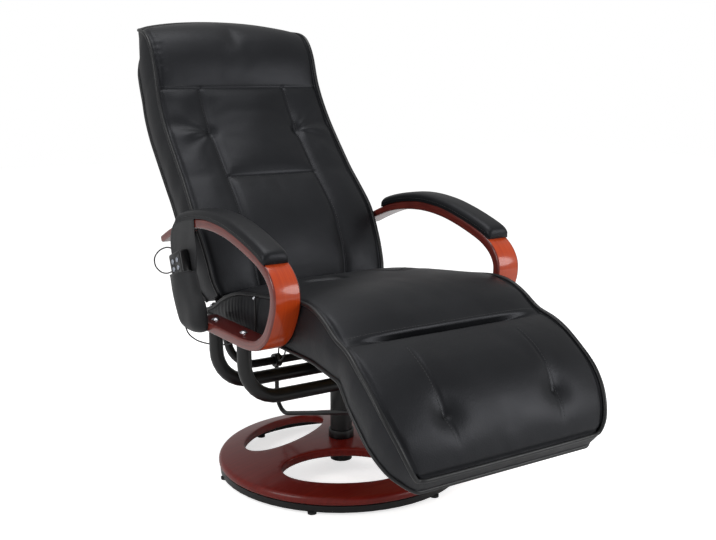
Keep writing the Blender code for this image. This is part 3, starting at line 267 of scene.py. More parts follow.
def pebble_grain(tree, place, size, strength, depth):
    """Embossed leather grain of a size in metres."""
    cells = put(tree, "ShaderNodeTexVoronoi", {"Vector": place, "Scale": 1 / size}, feature="SMOOTH_F1")
    return put(tree, "ShaderNodeBump", {"Height": cells, "Strength": strength, "Distance": depth})


def fine_finish(name, size, detail, tones, shine, relief=None, **sockets):
    """A material with one fine mottle, which may also raise its skin by (strength, depth)."""
    made, tree, place = mapped_material(name)
    cloud, tone, rough = mottle(tree, place, size, detail, tones, shine)
    if relief:
        sockets["Normal"] = put(tree, "ShaderNodeBump", {"Height": cloud, "Strength": relief[0],
                                                         "Distance": relief[1]})
    return surface(made, Base_Color=tone, Roughness=rough, **sockets)


def pu_leather():
    """Black polyurethane leather: embossed pebble grain under a satin skin, so light spreads softly."""
    made, tree, place = mapped_material("black_pu_leather")
    # The real grain is about 1 mm; it is drawn at 2.4 mm so that it shows
    grain = pebble_grain(tree, place, 0.0024, 0.22, 0.0006)
    crumple = put(tree, "ShaderNodeTexNoise", {"Vector": place, "Scale": 1 / 0.026, "Detail": 5.0,
                                               "Roughness": 0.62})
    skin = put(tree, "ShaderNodeBump", {"Height": crumple, "Strength": 0.10, "Distance": 0.004,
                                        "Normal": grain})
    _, tone, rough = mottle(tree, place, 0.140, 3.0, ("#0c0d0f", "#111214"), (0.40, 0.50))
    return surface(made, Base_Color=tone, Roughness=rough, Normal=skin, IOR=1.5, Specular_IOR_Level=0.25,
                   Specular_Tint=linear("#f4f6ff"))


def piping_leather():
    """The same leather drawn tight over a cord: finer grain and more shine."""
    made, tree, place = mapped_material("black_piping_leather")
    grain = pebble_grain(tree, place, 0.0018, 0.15, 0.0005)
    _, tone, rough = mottle(tree, place, 0.050, 2.0, ("#101113", "#151618"), (0.34, 0.44))
    return surface(made, Base_Color=tone, Roughness=rough, Normal=grain, IOR=1.5, Specular_IOR_Level=0.36)


def thread():
    """Black polyester sewing thread: twisted, with a faint sheen."""
    return fine_finish("black_polyester_thread", 0.0008, 2.0, ("#131416", "#212225"), 0.55, Sheen_Weight=0.1)


def cherry_lacquer():
    """Bent beech plywood stained cherry under gloss lacquer: streaky grain, sharp reflections and painted
    shade on the arm loop's inner faces.
    """
    made, tree = new_material("cherry_lacquered_plywood")
    along = put(tree, "ShaderNodeUVMap", {}, uv_map="grain")
    edge, inner_shade = (put(tree, "ShaderNodeAttribute", {}, attribute_name=label).outputs["Fac"]
                   for label in ("ply_edge", "inner_face_painted_shade"))
    # Grain streaks about 3 mm wide and 150 mm long; plies 1.8 mm thick
    streak = put(tree, "ShaderNodeMapping", {"Vector": along, "Scale": (1 / 0.150, 1 / 0.003, 1.0)})
    plies = put(tree, "ShaderNodeMapping", {"Vector": along, "Scale": (1 / 0.060, 1 / 0.0036, 1.0)})
    _, face, rough = mottle(tree, streak, 1.0, 4.0, ("#a3310a", "#b9430e"), 0.34, (0.20, 0.80),
                            Distortion=0.4)
    _, side, _ = mottle(tree, plies, 1.0, 1.0, ("#571d18", "#6b2a22"), rough)
    # Painted shade: the loop's inner faces, under the pad, are mixed towards a dark red
    shaded = put(tree, "ShaderNodeMix", {"Factor": inner_shade, 6: face, 7: linear("#521410")}, data_type="RGBA")
    colour = put(tree, "ShaderNodeMix", {"Factor": edge, 6: shaded.outputs[2], 7: side}, data_type="RGBA")
    wave = put(tree, "ShaderNodeTexNoise", {"Vector": along, "Scale": 1 / 0.040, "Detail": 1.0})
    skin = put(tree, "ShaderNodeBump", {"Height": wave, "Strength": 0.05, "Distance": 0.002})
    return surface(made, Base_Color=colour.outputs[2], Roughness=rough, Normal=skin, IOR=1.5,
                   Specular_IOR_Level=0.2, Coat_Weight=0.62, Coat_Roughness=0.13)


def mahogany_lacquer():
    """Veneered board stained mahogany under gloss lacquer: dark red with fine straight grain."""
    made, tree, place = mapped_material("mahogany_lacquered_board")
    # Grain streaks 4 mm wide and 200 mm long, along the chair's width
    streak = put(tree, "ShaderNodeMapping", {"Vector": place, "Scale": (1 / 0.200, 1 / 0.004, 1 / 0.02)})
    _, tone, rough = mottle(tree, streak, 1.0, 5.0, ("#5c110c", "#741b13"), 0.36, (0.25, 0.80),
                            Distortion=0.6)
    pores = put(tree, "ShaderNodeTexNoise", {"Vector": streak, "Scale": 3.0, "Detail": 2.0})
    fine = put(tree, "ShaderNodeBump", {"Height": pores, "Strength": 0.04, "Distance": 0.001})
    return surface(made, Base_Color=tone, Roughness=rough, Normal=fine, IOR=1.5, Specular_IOR_Level=0.2,
                   Coat_Weight=0.22, Coat_Roughness=0.14)


def powder_coat():
    """Black powder-coated steel: an even skin with a fine orange peel."""
    made, tree, place = mapped_material("black_powder_coated_steel")
    # Orange peel is about 0.6 mm; it is drawn at 1.2 mm so that it shows
    peel = put(tree, "ShaderNodeTexNoise", {"Vector": place, "Scale": 1 / 0.0012, "Detail": 1.0})
    skin = put(tree, "ShaderNodeBump", {"Height": peel, "Strength": 0.10, "Distance": 0.0006})
    _, tone, rough = mottle(tree, place, 0.060, 3.0, ("#0c0c0d", "#121213"), (0.30, 0.42))
    return surface(made, Base_Color=tone, Roughness=rough, Normal=skin, IOR=1.5, Specular_IOR_Level=0.35)


def zinc_plate():
    """Zinc-plated steel: bright, with turning marks."""
    return fine_finish("zinc_plated_steel", 0.0015, 2.0, ("#b9bbc2", "#d2d3d8"), (0.20, 0.34), Metallic=1.0)


def abs_plastic():
    """Black moulded ABS with a spark-eroded texture."""
    return fine_finish("black_moulded_abs", 0.0010, 2.0, ("#0a0b0c", "#0f1012"), 0.32, (0.12, 0.0004),
                       IOR=1.53, Specular_IOR_Level=0.3)


def silver_keys():
    """Silver-painted push buttons: metal flake in a satin paint."""
    return fine_finish("silver_painted_abs", 0.0006, 1.0, ("#7d828c", "#a4a9b4"), 0.35, Metallic=0.5)


def rubber():
    """Black moulded rubber: matt and slightly dusty."""
    return fine_finish("black_moulded_rubber", 0.004, 3.0, ("#101010", "#181818"), 0.75)


def cord_sleeve():
    """Soft black PVC cable sleeve: smooth, with a low gloss."""
    return fine_finish("black_pvc_sleeve", 0.020, 2.0, ("#111112", "#19191b"), 0.45)


def plywood():
    """Raw birch plywood: pale, with grey-brown streaks."""
    made, tree, place = mapped_material("raw_birch_plywood")
    streak = put(tree, "ShaderNodeMapping", {"Vector": place, "Scale": (1 / 0.004, 1 / 0.150, 1 / 0.0014)})
    _, tone, rough = mottle(tree, streak, 1.0, 4.0, ("#9a7a4e", "#c3a070"), 0.65, (0.3, 0.7))
    return surface(made, Base_Color=tone, Roughness=rough)


def nylon():
    """Black woven nylon: a visible plain weave, matt with a soft sheen."""
    made, tree, place = mapped_material("black_woven_nylon")
    # The real threads are 0.5 mm apart; they are drawn 1.6 mm apart so that they show
    bands = {"Vector": place, "Scale": math.tau / 20 / 0.0016}
    warp, weft = (put(tree, "ShaderNodeTexWave", bands, bands_direction=axis).outputs["Fac"]
                  for axis in "YZ")
    cross = put(tree, "ShaderNodeMath", {0: warp, 1: weft}, operation="MAXIMUM")
    tone = put(tree, "ShaderNodeValToRGB", {"Fac": cross}, stops=((0.2, "#0b0c0d"), (0.9, "#17181b")))
    weave = put(tree, "ShaderNodeBump", {"Height": cross, "Strength": 0.35, "Distance": 0.0005})
    return surface(made, Base_Color=tone, Roughness=0.55, Normal=weave, Sheen_Weight=0.08,
                   Sheen_Roughness=0.5, Specular_IOR_Level=0.3)


LEATHER = pu_leather()
PIPING = piping_leather()
THREAD = thread()
CHERRY = cherry_lacquer()
MAHOGANY = mahogany_lacquer()
POWDER = powder_coat()
ZINC = zinc_plate()
SLEEVE = cord_sleeve()
NYLON = nylon()
FINISH = {
    "black_leather": LEATHER, "mahogany_lacquer": MAHOGANY, "cherry_lacquer": CHERRY,
    "black_powder_coat": POWDER, "zinc_plate": ZINC, "black_plastic": abs_plastic(),
    "silver_plastic": silver_keys(), "black_rubber": rubber(), "birch_plywood": plywood(),
    "black_nylon": NYLON,
}


# Pieces

def placed(name, data):
    """An object in the scene for a mesh, a lamp or the camera."""
    made = bpy.data.objects.new(name, data)
    bpy.context.scene.collection.objects.link(made)
    return made


def make_piece(name, mesh, finish, sharp=None, shift=True):
    """A finished piece at the origin, with its place in its mesh."""
    if shift:
        mesh.transform(Matrix.Translation(SHIFT))
    made = placed(name, mesh)
    mesh.materials.clear()
    mesh.materials.append(finish)
    mesh.shade_smooth()
    if sharp:
        mesh.set_sharp_from_angle(angle=math.radians(sharp))
    return made


def dress(piece, slot, body, *stands_for):
    """Puts a piece on its body and hides the solids that it stands for; the slot is not used."""
    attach(piece, body)
    if stands_for:
        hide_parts(*stands_for)
    return piece


def mesh_from(bm, name):
    mesh = bpy.data.meshes.new(name)
    bm.to_mesh(mesh)
    bm.free()
    return mesh


def mesh_of(points, faces, name, weld=0.0):
    """A mesh with its faces turned outwards, and points closer than the weld joined."""
    mesh = bpy.data.meshes.new(name)
    mesh.from_pydata([tuple(p) for p in points], [], [tuple(f) for f in faces])
    bm = bmesh.new()
    bm.from_mesh(mesh)
    if weld:
        bmesh.ops.remove_doubles(bm, verts=bm.verts, dist=weld)
    bmesh.ops.recalc_face_normals(bm, faces=bm.faces)
    bm.to_mesh(mesh)
    bm.free()
    return mesh


def grid_faces(rows, count, first=0):
    """Quads between rows of points, where the first row starts at a given point."""
    starts = [first + i * count + j for i in range(rows - 1) for j in range(count - 1)]
    return [(a, a + 1, a + count + 1, a + count) for a in starts]


def tube_faces(rows, count):
    """Quads round rings of points, and a face on each end."""
    faces = []
    for i in range(0, (rows - 1) * count, count):
        for j in range(count):
            k = (j + 1) % count
            faces.append((i + j, i + k, i + count + k, i + count + j))
    return [*faces, tuple(range(count)), tuple(range((rows - 1) * count, rows * count))]


def distances(path):
    """How far along a path each of its points is."""
    return np.concatenate([[0.0], np.cumsum(np.linalg.norm(np.diff(path, axis=0), axis=1))])


def read_line(shares, line, wanted):
    """Points of a line that is known at some shares, read at others."""
    return np.column_stack([np.interp(wanted, shares, values) for values in line.T])


def smooth_line(points, shares):
    """A smooth curve through points, read at shares of its length."""
    p = np.array(points, float)
    ends = np.vstack([2 * p[0] - p[1], p, 2 * p[-1] - p[-2]])
    t = np.linspace(0.0, 1.0, 24, endpoint=False)[:, None]
    pieces = []
    for a, b, c, d in zip(ends, ends[1:], ends[2:], ends[3:]):
        pieces.append(0.5 * (2 * b + (c - a) * t + (2 * a - 5 * b + 4 * c - d) * t ** 2
                             + (3 * b - a - 3 * c + d) * t ** 3))
    dense = np.vstack([*pieces, p[-1:]])
    length = distances(dense)
    return read_line(length, dense, np.asarray(shares) * length[-1])


def headings(path):
    steps = np.gradient(path, axis=0)
    return steps / np.linalg.norm(steps, axis=1)[:, None]


def left_normals(path):
    steps = headings(path)
    return np.column_stack([-steps[:, 1], steps[:, 0]])


def read_off(table, shares):
    return np.interp(shares, *zip(*table))


def crown(u):
    return 1.0 - np.abs(u) ** 4


def dip(distance, spread):
    return np.clip(1.0 - np.abs(distance) / spread, 0.0, 1.0)


def bell(distance, spread):
    return np.exp(-(distance / spread) ** 2)


def sunk(distance, depth, spread):
    return -depth * bell(distance, spread)


def ramp(value, start, span):
    return np.clip((value - start) / span, 0.0, 1.0)


def eased_ramp(share):
    return share * share * (3.0 - 2.0 * share)


def sweep(path, radius, sides=10, name="tube"):
    """A round tube along a list of points, with closed ends."""
    path = np.array(path, float)
    steps = headings(path)
    side = np.cross(steps[0], (0.0, 0.0, 1.0))
    if np.linalg.norm(side) < 1e-3:
        side = np.cross(steps[0], (1.0, 0.0, 0.0))
    points = []
    for place, step in zip(path, steps):
        side = side - step * (side @ step)
        side /= np.linalg.norm(side)
        up = np.cross(step, side)
        for a in np.linspace(0.0, math.tau, sides, endpoint=False):
            points.append(place + radius * (math.cos(a) * side + math.sin(a) * up))
    return mesh_of(points, tube_faces(len(path), sides), name)


def joined(meshes, name):
    bm = bmesh.new()
    for mesh in meshes:
        bm.from_mesh(mesh)
    return mesh_from(bm, name)


def spaced(points):
    """Sorted values with near doubles dropped."""
    points = np.sort(np.array(points))
    keep = [points[0]]
    for value in points[1:]:
        if value - keep[-1] > 1e-4:
            keep.append(value)
    return np.array(keep)


def across_lines(*near_edges):
    """Even lines across a cushion, with one on each seam and a few more beside its edges."""
    half = np.array([*np.linspace(0.0, SIDE_SEAM, 16), *np.linspace(SIDE_SEAM, 1.0, 15), *near_edges])
    return spaced([*-half, *half])


# Soft pieces: the skin of a box, carried to the cushion's form

CLOTH = {"quality": 5, "mass": 0.4, "tension_stiffness": 12.0, "compression_stiffness": 12.0,
         "shear_stiffness": 6.0, "bending_stiffness": 2.0, "air_damping": 2.0, "use_pressure": True,
         "uniform_pressure_force": 4.0, "shrink_min": -0.006, "vertex_group_mass": "sewn"}
CLOTH_STEPS = 20
EVENING_ROUNDS = 6
SLACK = 0.55  # the share of its fullness that a cushion has before it is stuffed
CLOSE = 1e-4  # places nearer than this are on one line
EDGE = 1.0 - CLOSE
GROOVE_INSET = 0.008
GROOVE_SPREAD = 0.006


def patch(grid, flip):
    quads = np.stack([grid[:-1, :-1], grid[1:, :-1], grid[1:, 1:], grid[:-1, 1:]], -1).reshape(-1, 4)
    return quads[:, ::-1] if flip else quads


def box_skin(us, vs, ws):
    """Places (u across, v along, w from the face to the rear) on a box's skin, and its quads."""
    skin = np.zeros((len(us), len(vs), len(ws)), bool)
    skin[[0, -1]] = True
    skin[:, [0, -1]] = True
    skin[:, :, [0, -1]] = True
    index = np.full(skin.shape, -1)
    index[skin] = np.arange(skin.sum())
    i, j, k = np.nonzero(skin)
    places = np.column_stack([us[i], vs[j], ws[k]])
    quads = np.vstack([patch(index[:, :, 0], False), patch(index[:, :, -1], True),
                       patch(index[:, 0, :], True), patch(index[:, -1, :], False),
                       patch(index[0], False), patch(index[-1], True)])
    return places, quads


def vectors_of(items, field):
    found = np.empty(len(items) * 3)
    items.foreach_get(field, found)
    return found.reshape(-1, 3)


def places_of(mesh):
    return vectors_of(mesh.attributes["place"].data, "vector")


def points_of(mesh):
    return vectors_of(mesh.vertices, "co")


def normals_of(mesh):
    return vectors_of(mesh.vertices, "normal")


def puff(piece, sewn, cap):
    """Swells a cushion like stuffed cloth: sewn points stay, the rest moves no further than the cap."""
    mesh = piece.data
    rest = points_of(mesh)
    group = piece.vertex_groups.new(name="sewn")
    group.add(np.nonzero(sewn)[0].tolist(), 1.0, "REPLACE")
    cloth = piece.modifiers.new("stuffing", "CLOTH")
    for setting, value in CLOTH.items():
        setattr(cloth.settings, setting, value)
    cloth.settings.effector_weights.gravity = 0.0
    cloth.point_cache.frame_start = 1
    cloth.point_cache.frame_end = CLOTH_STEPS
    scene = bpy.context.scene
    for step in range(1, CLOTH_STEPS + 1):
        scene.frame_set(step)
    solved = piece.evaluated_get(bpy.context.evaluated_depsgraph_get())
    moved = points_of(solved.data) - rest
    moved *= np.minimum(1.0, cap / np.maximum(np.linalg.norm(moved, axis=1), 1e-9))[:, None]
    ends = np.empty(len(mesh.edges) * 2, int)
    mesh.edges.foreach_get("vertices", ends)
    ends = ends.reshape(-1, 2)
    near = np.bincount(ends.ravel(), minlength=len(moved))[:, None]
    # Foam under the leather evens out the finest wrinkles
    for _ in range(EVENING_ROUNDS):
        around = np.zeros_like(moved)
        np.add.at(around, ends[:, 0], moved[ends[:, 1]])
        np.add.at(around, ends[:, 1], moved[ends[:, 0]])
        moved = np.where(sewn[:, None], moved, 0.5 * moved + 0.5 * around / near)
    piece.modifiers.remove(cloth)
    piece.vertex_groups.remove(group)
    scene.frame_set(1)
    mesh.vertices.foreach_set("co", (rest + moved).ravel())
    mesh.update()


def add_subdivision(piece):
    finer = piece.modifiers.new("finer", "SUBSURF")
    finer.levels = 1
    finer.render_levels = 1
    return finer


def refine(piece):
    """One subdivision, made part of the mesh."""
    finer = add_subdivision(piece)
    solved = piece.evaluated_get(bpy.context.evaluated_depsgraph_get())
    mesh = bpy.data.meshes.new_from_object(solved)
    piece.modifiers.remove(finer)
    old = piece.data
    piece.data = mesh
    bpy.data.meshes.remove(old)


def lift_points(mesh, chosen, heights):
    """Moves the chosen points along their normals."""
    heights = np.where(chosen, heights, 0.0)
    mesh.vertices.foreach_set("co", (points_of(mesh) + normals_of(mesh) * heights[:, None]).ravel())
    mesh.update()


def fold(s, t, start, end, height, width):
    """A soft ridge or crease along a line, fading out at both ends."""
    start, end = np.array(start), np.array(end)
    along = end - start
    length = np.linalg.norm(along)
    along /= length
    a = ((s - start[0]) * along[0] + (t - start[1]) * along[1]) / length
    across = (s - start[0]) * -along[1] + (t - start[1]) * along[0]
    return height * bell(across, width) * eased_ramp(np.clip(np.minimum(a, 1.0 - a) * 3.0, 0.0, 1.0))


def tuft_folds(out, up, height, reach=0.046):
    """Folds that fan out from a tuft towards the cushion's edge."""
    away = np.hypot(out, up) / reach
    turn = np.arctan2(up, out)
    return height * np.cos(8.0 * turn + 0.7) * dip(turn, 1.1) * away * np.exp(1.0 - away)


def edge_groove(u, half, depth):
    """The hollow beside a cushion's piping."""
    inside = (1.0 - np.abs(u)) * half
    return sunk(inside - GROOVE_INSET, depth, GROOVE_SPREAD) * (inside > CLOSE)


def swollen_width(u, v, w, half, swell):
    """Places across a cushion whose sides swell between their edges."""
    bulge = swell * np.sin(np.pi * w) * np.clip(8.0 * v * (1.0 - v), 0.0, 1.0)
    return half * u + np.sign(u) * bulge * (np.abs(u) > EDGE)


def on_side(u, w):
    return (np.abs(u) > EDGE) & (w > 0.02) & (w < 0.98)


def soft_piece(name, places, quads, points):
    mesh = mesh_of(points, quads, name)
    held = mesh.attributes.new("place", "FLOAT_VECTOR", "POINT")
    held.data.foreach_set("vector", places.astype(np.float32).ravel())
    return make_piece(name, mesh, LEATHER)


def stuffed(name, places, quads, form, seams, cap):
    u, v, w = places.T
    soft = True
    piece = soft_piece(name, places, quads, form(places, SLACK if soft else 1.0))
    face, rear = w < CLOSE, w > EDGE
    ends = (np.abs(u) > EDGE) | (v > EDGE)
    if soft:
        puff(piece, rear | (v < CLOSE) | ends & face | seams & face, cap)
    refine(piece)
    return piece


def surface_reader(mesh):
    """Reads points on a cushion's face at (u, v)."""
    places = places_of(mesh)
    points = points_of(mesh)
    face = np.nonzero(places[:, 2] < CLOSE)[0]
    tree = kdtree.KDTree(len(face))
    for i in face:
        tree.insert((places[i, 0], places[i, 1], 0.0), i)
    tree.balance()

    def read(u, v):
        found = tree.find_n((u, v, 0.0), 4)
        weights = np.array([1.0 / (distance + 1e-5) for _, _, distance in found])
        return (weights[:, None] * points[[i for _, i, _ in found]]).sum(0) / weights.sum()

    return read


# Stitches

def stitch_tree():
    """Thread stitches set end to end along the piece's edges."""
    tree = bpy.data.node_groups.new("sewn_stitches", "GeometryNodeTree")
    tree.interface.new_socket("Geometry", in_out="INPUT", socket_type="NodeSocketGeometry")
    for label in ("Pitch", "Length", "Width"):
        tree.interface.new_socket(label, in_out="INPUT", socket_type="NodeSocketFloat")
    tree.interface.new_socket("Geometry", in_out="OUTPUT", socket_type="NodeSocketGeometry")
    given = put(tree, "NodeGroupInput", {}).outputs
    line = put(tree, "GeometryNodeMeshToCurve", {"Mesh": given["Geometry"]})
    steps = put(tree, "GeometryNodeResampleCurve", {"Curve": line, "Length": given["Pitch"]}, mode="LENGTH")
    heading = put(tree, "GeometryNodeInputTangent", {})
    aim = put(tree, "FunctionNodeAlignRotationToVector", {"Vector": heading}, axis="X")
    bead = put(tree, "GeometryNodeMeshUVSphere", {"Segments": 8, "Rings": 5, "Radius": 0.5})
    width = given["Width"]
    size = put(tree, "ShaderNodeCombineXYZ", {"X": given["Length"], "Y": width, "Z": width})
    sewn = put(tree, "GeometryNodeInstanceOnPoints", {"Points": steps, "Instance": bead, "Rotation": aim,
                                                      "Scale": size})
    real = put(tree, "GeometryNodeRealizeInstances", {"Geometry": sewn})
    done = put(tree, "GeometryNodeSetMaterial", {"Geometry": real, "Material": THREAD})
    put(tree, "NodeGroupOutput", {"Geometry": done})
    return tree


STITCHES = stitch_tree()


def stitch(name, lines):
    """Rows of stitches along lines of points, as one plain mesh."""
    points, edges = [], []
    for line in lines:
        first = len(points)
        points += [tuple(p) for p in line]
        edges += [(first + i, first + i + 1) for i in range(len(line) - 1)]
    mesh = bpy.data.meshes.new(name)
    mesh.from_pydata(points, edges, [])
    guide = placed(name + "_guide", mesh)
    modifier = guide.modifiers.new("stitches", "NODES")
    modifier.node_group = STITCHES
    sizes = {"Pitch": STITCH_PITCH, "Length": STITCH_LENGTH, "Width": STITCH_WIDTH}
    for item in STITCHES.interface.items_tree:
        if item.in_out == "INPUT" and item.name in sizes:
            modifier[item.identifier] = sizes[item.name]
    solved = guide.evaluated_get(bpy.context.evaluated_depsgraph_get())
    sewn = bpy.data.meshes.new_from_object(solved)
    sewn.name = name
    bpy.data.objects.remove(guide)
    return make_piece(name, sewn, THREAD, shift=False)


# Back cushion

BACK_SHARES = np.linspace(0.0, 1.0, 161)
BACK_FRONT = smooth_line(BACK_EDGE, BACK_SHARES) + np.array(BACK_PIVOT)
BACK_OUT = left_normals(BACK_FRONT)
BACK_LENGTH = distances(smooth_line(BACK_EDGE, np.linspace(0, 1, 200)))[-1]
BACK_HALF = 0.24
BACK_TUFT = (SIDE_SEAM * 0.2415, TUFT_ROW * BACK_LENGTH)
BACK_CAP = 0.024
BACK_SWELL = 0.006
BACK_GROOVE = 0.0030
# Hollows and folds as (depth or height, spread)
BACK_SEAM = (0.0035, 0.0030)
BACK_HEAD_SEAM = (0.0040, 0.0032)
BACK_TUFT_HOLLOW = (0.008, 0.016)
BACK_TUFT_FOLD = 0.0036
HEAD_FOLD = (0.0034, 0.005)
HEAD_FOLDS = np.linspace(0.78, 0.945, 9)
PANEL_ROWS = np.linspace(0.05, 0.90, 65)
PANEL_PUFF = 0.007


def back_rear_line():
    """The back's rear: its face set back by the depths, then one bend up to the rear of the head."""
    rear = BACK_FRONT - BACK_OUT * read_off(BACK_DEPTHS, BACK_SHARES)[:, None]
    first = np.searchsorted(BACK_SHARES, BACK_HEAD_START)
    low, high = rear[first], BACK_FRONT[-1] + np.array(BACK_TOP_REAR)
    heading = (low - rear[first - 1]) / np.linalg.norm(low - rear[first - 1])
    bend = low + heading * np.linalg.norm(high - low) / 2
    s = np.linspace(0.0, 1.0, len(rear) - first)[:, None]
    rear[first:] = (1.0 - s) ** 2 * low + 2.0 * s * (1.0 - s) * bend + s ** 2 * high
    return rear


BACK_REAR = back_rear_line()


def back_points(places, fullness):
    u, v, w = places.T
    front, rear, normal = (read_line(BACK_SHARES, line, v) for line in (BACK_FRONT, BACK_REAR, BACK_OUT))
    along = np.column_stack([normal[:, 1], -normal[:, 0]])
    seams = dip(v - HEAD_SEAM, 0.028)
    seams = np.maximum(seams, dip(np.abs(u) - SIDE_SEAM, 0.07) * (v < HEAD_SEAM))
    seams = np.maximum(seams, dip(v - PANEL_SEAM, 0.028) * (np.abs(u) < SIDE_SEAM))
    lift = (fullness * read_off(BACK_RISES, v) - 0.005 * seams) * crown(u) * (1.0 - w) ** 2
    lift += BACK_TOP_PEAK * (1.0 - u * u) * ramp(v, 0.84, 0.12)
    arch = BACK_TOP_ARCH * (1.0 - u * u) * ramp(v, 0.93, 0.07)
    flat = front + (rear - front) * w[:, None] + normal * lift[:, None] + along * arch[:, None]
    return np.column_stack([swollen_width(u, v, w, read_off(BACK_WIDTHS, v), BACK_SWELL), flat])


def back_cushion():
    vs = spaced([*np.linspace(0.0, PANEL_SEAM, 38), *np.linspace(PANEL_SEAM, HEAD_SEAM, 33),
                 *np.linspace(HEAD_SEAM, 1.0, 27)])
    ws = np.array((0.0, 0.06, 0.2, 0.35, 0.5, 0.65, 0.8, 0.94, 1.0))
    places, quads = box_skin(across_lines(0.955, 0.982), vs, ws)
    u, v, _ = places.T
    seams = (np.abs(np.abs(u) - SIDE_SEAM) < CLOSE) & (v < HEAD_SEAM + CLOSE)
    seams |= np.abs(v - HEAD_SEAM) < CLOSE
    seams |= (np.abs(v - PANEL_SEAM) < CLOSE) & (np.abs(u) < SIDE_SEAM + CLOSE)
    piece = stuffed("back_cushion_cover", places, quads, back_points, seams, BACK_CAP)
    mesh = piece.data
    u, v, w = places_of(mesh).T
    s, t = u * read_off(BACK_WIDTHS, v), v * BACK_LENGTH
    out, up = np.abs(s) - BACK_TUFT[0], t - BACK_TUFT[1]
    height = sunk((np.abs(u) - SIDE_SEAM) * BACK_HALF, *BACK_SEAM) * (v < HEAD_SEAM)
    height += sunk((v - HEAD_SEAM) * BACK_LENGTH, *BACK_HEAD_SEAM)
    height += sunk((v - PANEL_SEAM) * BACK_LENGTH, *BACK_SEAM) * (np.abs(u) < SIDE_SEAM)
    height += sunk(np.hypot(out, up), *BACK_TUFT_HOLLOW)
    height += tuft_folds(out, up, BACK_TUFT_FOLD)
    rng = np.random.default_rng(7)
    for centre in HEAD_FOLDS:
        reach = 0.028 + 0.014 * rng.random()
        edge = read_off(BACK_WIDTHS, centre)
        slant = 0.010 * rng.random()
        height += fold(s, t, (-edge - 0.01, centre * BACK_LENGTH),
                       (-edge + reach, centre * BACK_LENGTH - slant), *HEAD_FOLD)
    height = height * crown(u) ** 0.5 + edge_groove(u, BACK_HALF, BACK_GROOVE)
    lift_points(mesh, w < CLOSE, height)
    ripple = 0.0012 * np.sin(t / 0.019 + 3.0 * w) * np.sin(np.pi * w) * bell(v - 0.25, 0.25)
    lift_points(mesh, on_side(u, w), ripple)
    dress(piece, "black_leather", "backrest", "back_cushion")
    return piece


def back_rear_panel():
    """The upholstered rear of the back: a thin padded panel, drawn tight."""
    us = spaced([*np.linspace(-1, 1, 41), -0.985, 0.985])
    places, quads = box_skin(us, PANEL_ROWS, np.array((0.0, 0.3, 0.7, 1.0)))
    u, v, w = places.T
    rear, normal = (read_line(BACK_SHARES, line, v) for line in (BACK_REAR, left_normals(BACK_REAR)))
    half = read_off(BACK_WIDTHS, v) - BACK_PANEL_INSET
    ends = np.minimum(ramp(v, PANEL_ROWS[0], 0.05), ramp(-v, -PANEL_ROWS[-1], 0.27))
    puffed = PANEL_PUFF * (1.0 - np.abs(u) ** 6) * ends
    thick = BACK_PANEL_THICK * (0.30 + 0.70 * (1.0 - np.abs(u) ** 12)) * (0.15 + 0.85 * ends)
    depth = FIT + w * thick + (w > 0.99) * puffed
    points = np.column_stack([half * u, rear - normal * depth[:, None]])
    piece = soft_piece("back_panel_cover", places, quads, points)
    refine(piece)
    dress(piece, "black_leather", "backrest", "back_panel")


# Seat and footrest, which share one cover

COVER_SHARES = np.linspace(0.0, 1.0, 201)
COVER_TOP = smooth_line([*((y, z + SEAT_UNDERSIDE) for y, z in SEAT_EDGE),
                         *((FOOT_PIVOT.x + y, FOOT_PIVOT.y + z) for y, z in FOOT_EDGE)], COVER_SHARES)
COVER_LENGTH = distances(COVER_TOP)[-1]
SEAT_FRONT_SHARE, CREASE = np.interp((-SEAT_FRONT, -CREASE_PLACE), -COVER_TOP[:150, 0], COVER_SHARES[:150])
FOOT_TUFT_ROW = np.interp(-FOOT_TUFT_HEIGHT, -COVER_TOP[120:, 1], COVER_SHARES[120:])
FOOT_HALF = 0.265
FOOT_TUFT = (SIDE_SEAM * FOOT_HALF, FOOT_TUFT_ROW * COVER_LENGTH)
FOOT_TUFT_PIN = 0.006
TAIL_PINNED = 0.08
ROW_PITCH = 0.0078
COVER_CAP = 0.026
COVER_SWELL = 0.005
COVER_GROOVE = 0.0034
COVER_GROOVE_HALF = 0.255
TIP_GROOVE = 0.0030
CREASE_EDGE_DEPTH = 0.002
CREASE_EXTRA_DEPTH = 0.026
CREASE_SPREAD = 0.0060
FOOT_TUFT_HOLLOWS = ((0.010, 0.032), (0.004, 0.009))
FOOT_SEAM = (0.0022, 0.0032)
FOOT_SEAM_HALF = 0.26
# Seat wrinkles beside each edge, as (start, end, height, width), with places (across, along)
SEAT_WRINKLES = (((0.052, 0.245), (0.072, 0.375), -0.0050, 0.006),
                 ((0.066, 0.372), (0.160, 0.292), -0.0045, 0.006),
                 ((0.075, 0.350), (0.150, 0.285), 0.0030, 0.010))


def cover_underside():
    """The cover's rear line, from under the seat round to the footrest's tip."""
    knots = (0.0, SEAT_FRONT_SHARE, CREASE, CREASE + 0.78 * (1.0 - CREASE), 1.0)
    line = np.array(((SEAT_EDGE[0][0], SEAT_UNDERSIDE), (SEAT_FRONT, SEAT_UNDERSIDE), CREASE_UNDERSIDE,
                     FOOT_PIVOT + Vector(FOOT_REAR_BEND), FOOT_PIVOT + Vector(FOOT_REAR_TIP)))
    return read_line(knots, line, COVER_SHARES)


def foot_share(v):
    return (v - CREASE) / (1.0 - CREASE)


def cover_widths(v):
    seat = np.interp(v, (0.55 * CREASE, CREASE), (SEAT_HALF, SEAT_FRONT_HALF))
    return np.where(v < CREASE, seat, read_off(FOOT_WIDTHS, foot_share(v)))


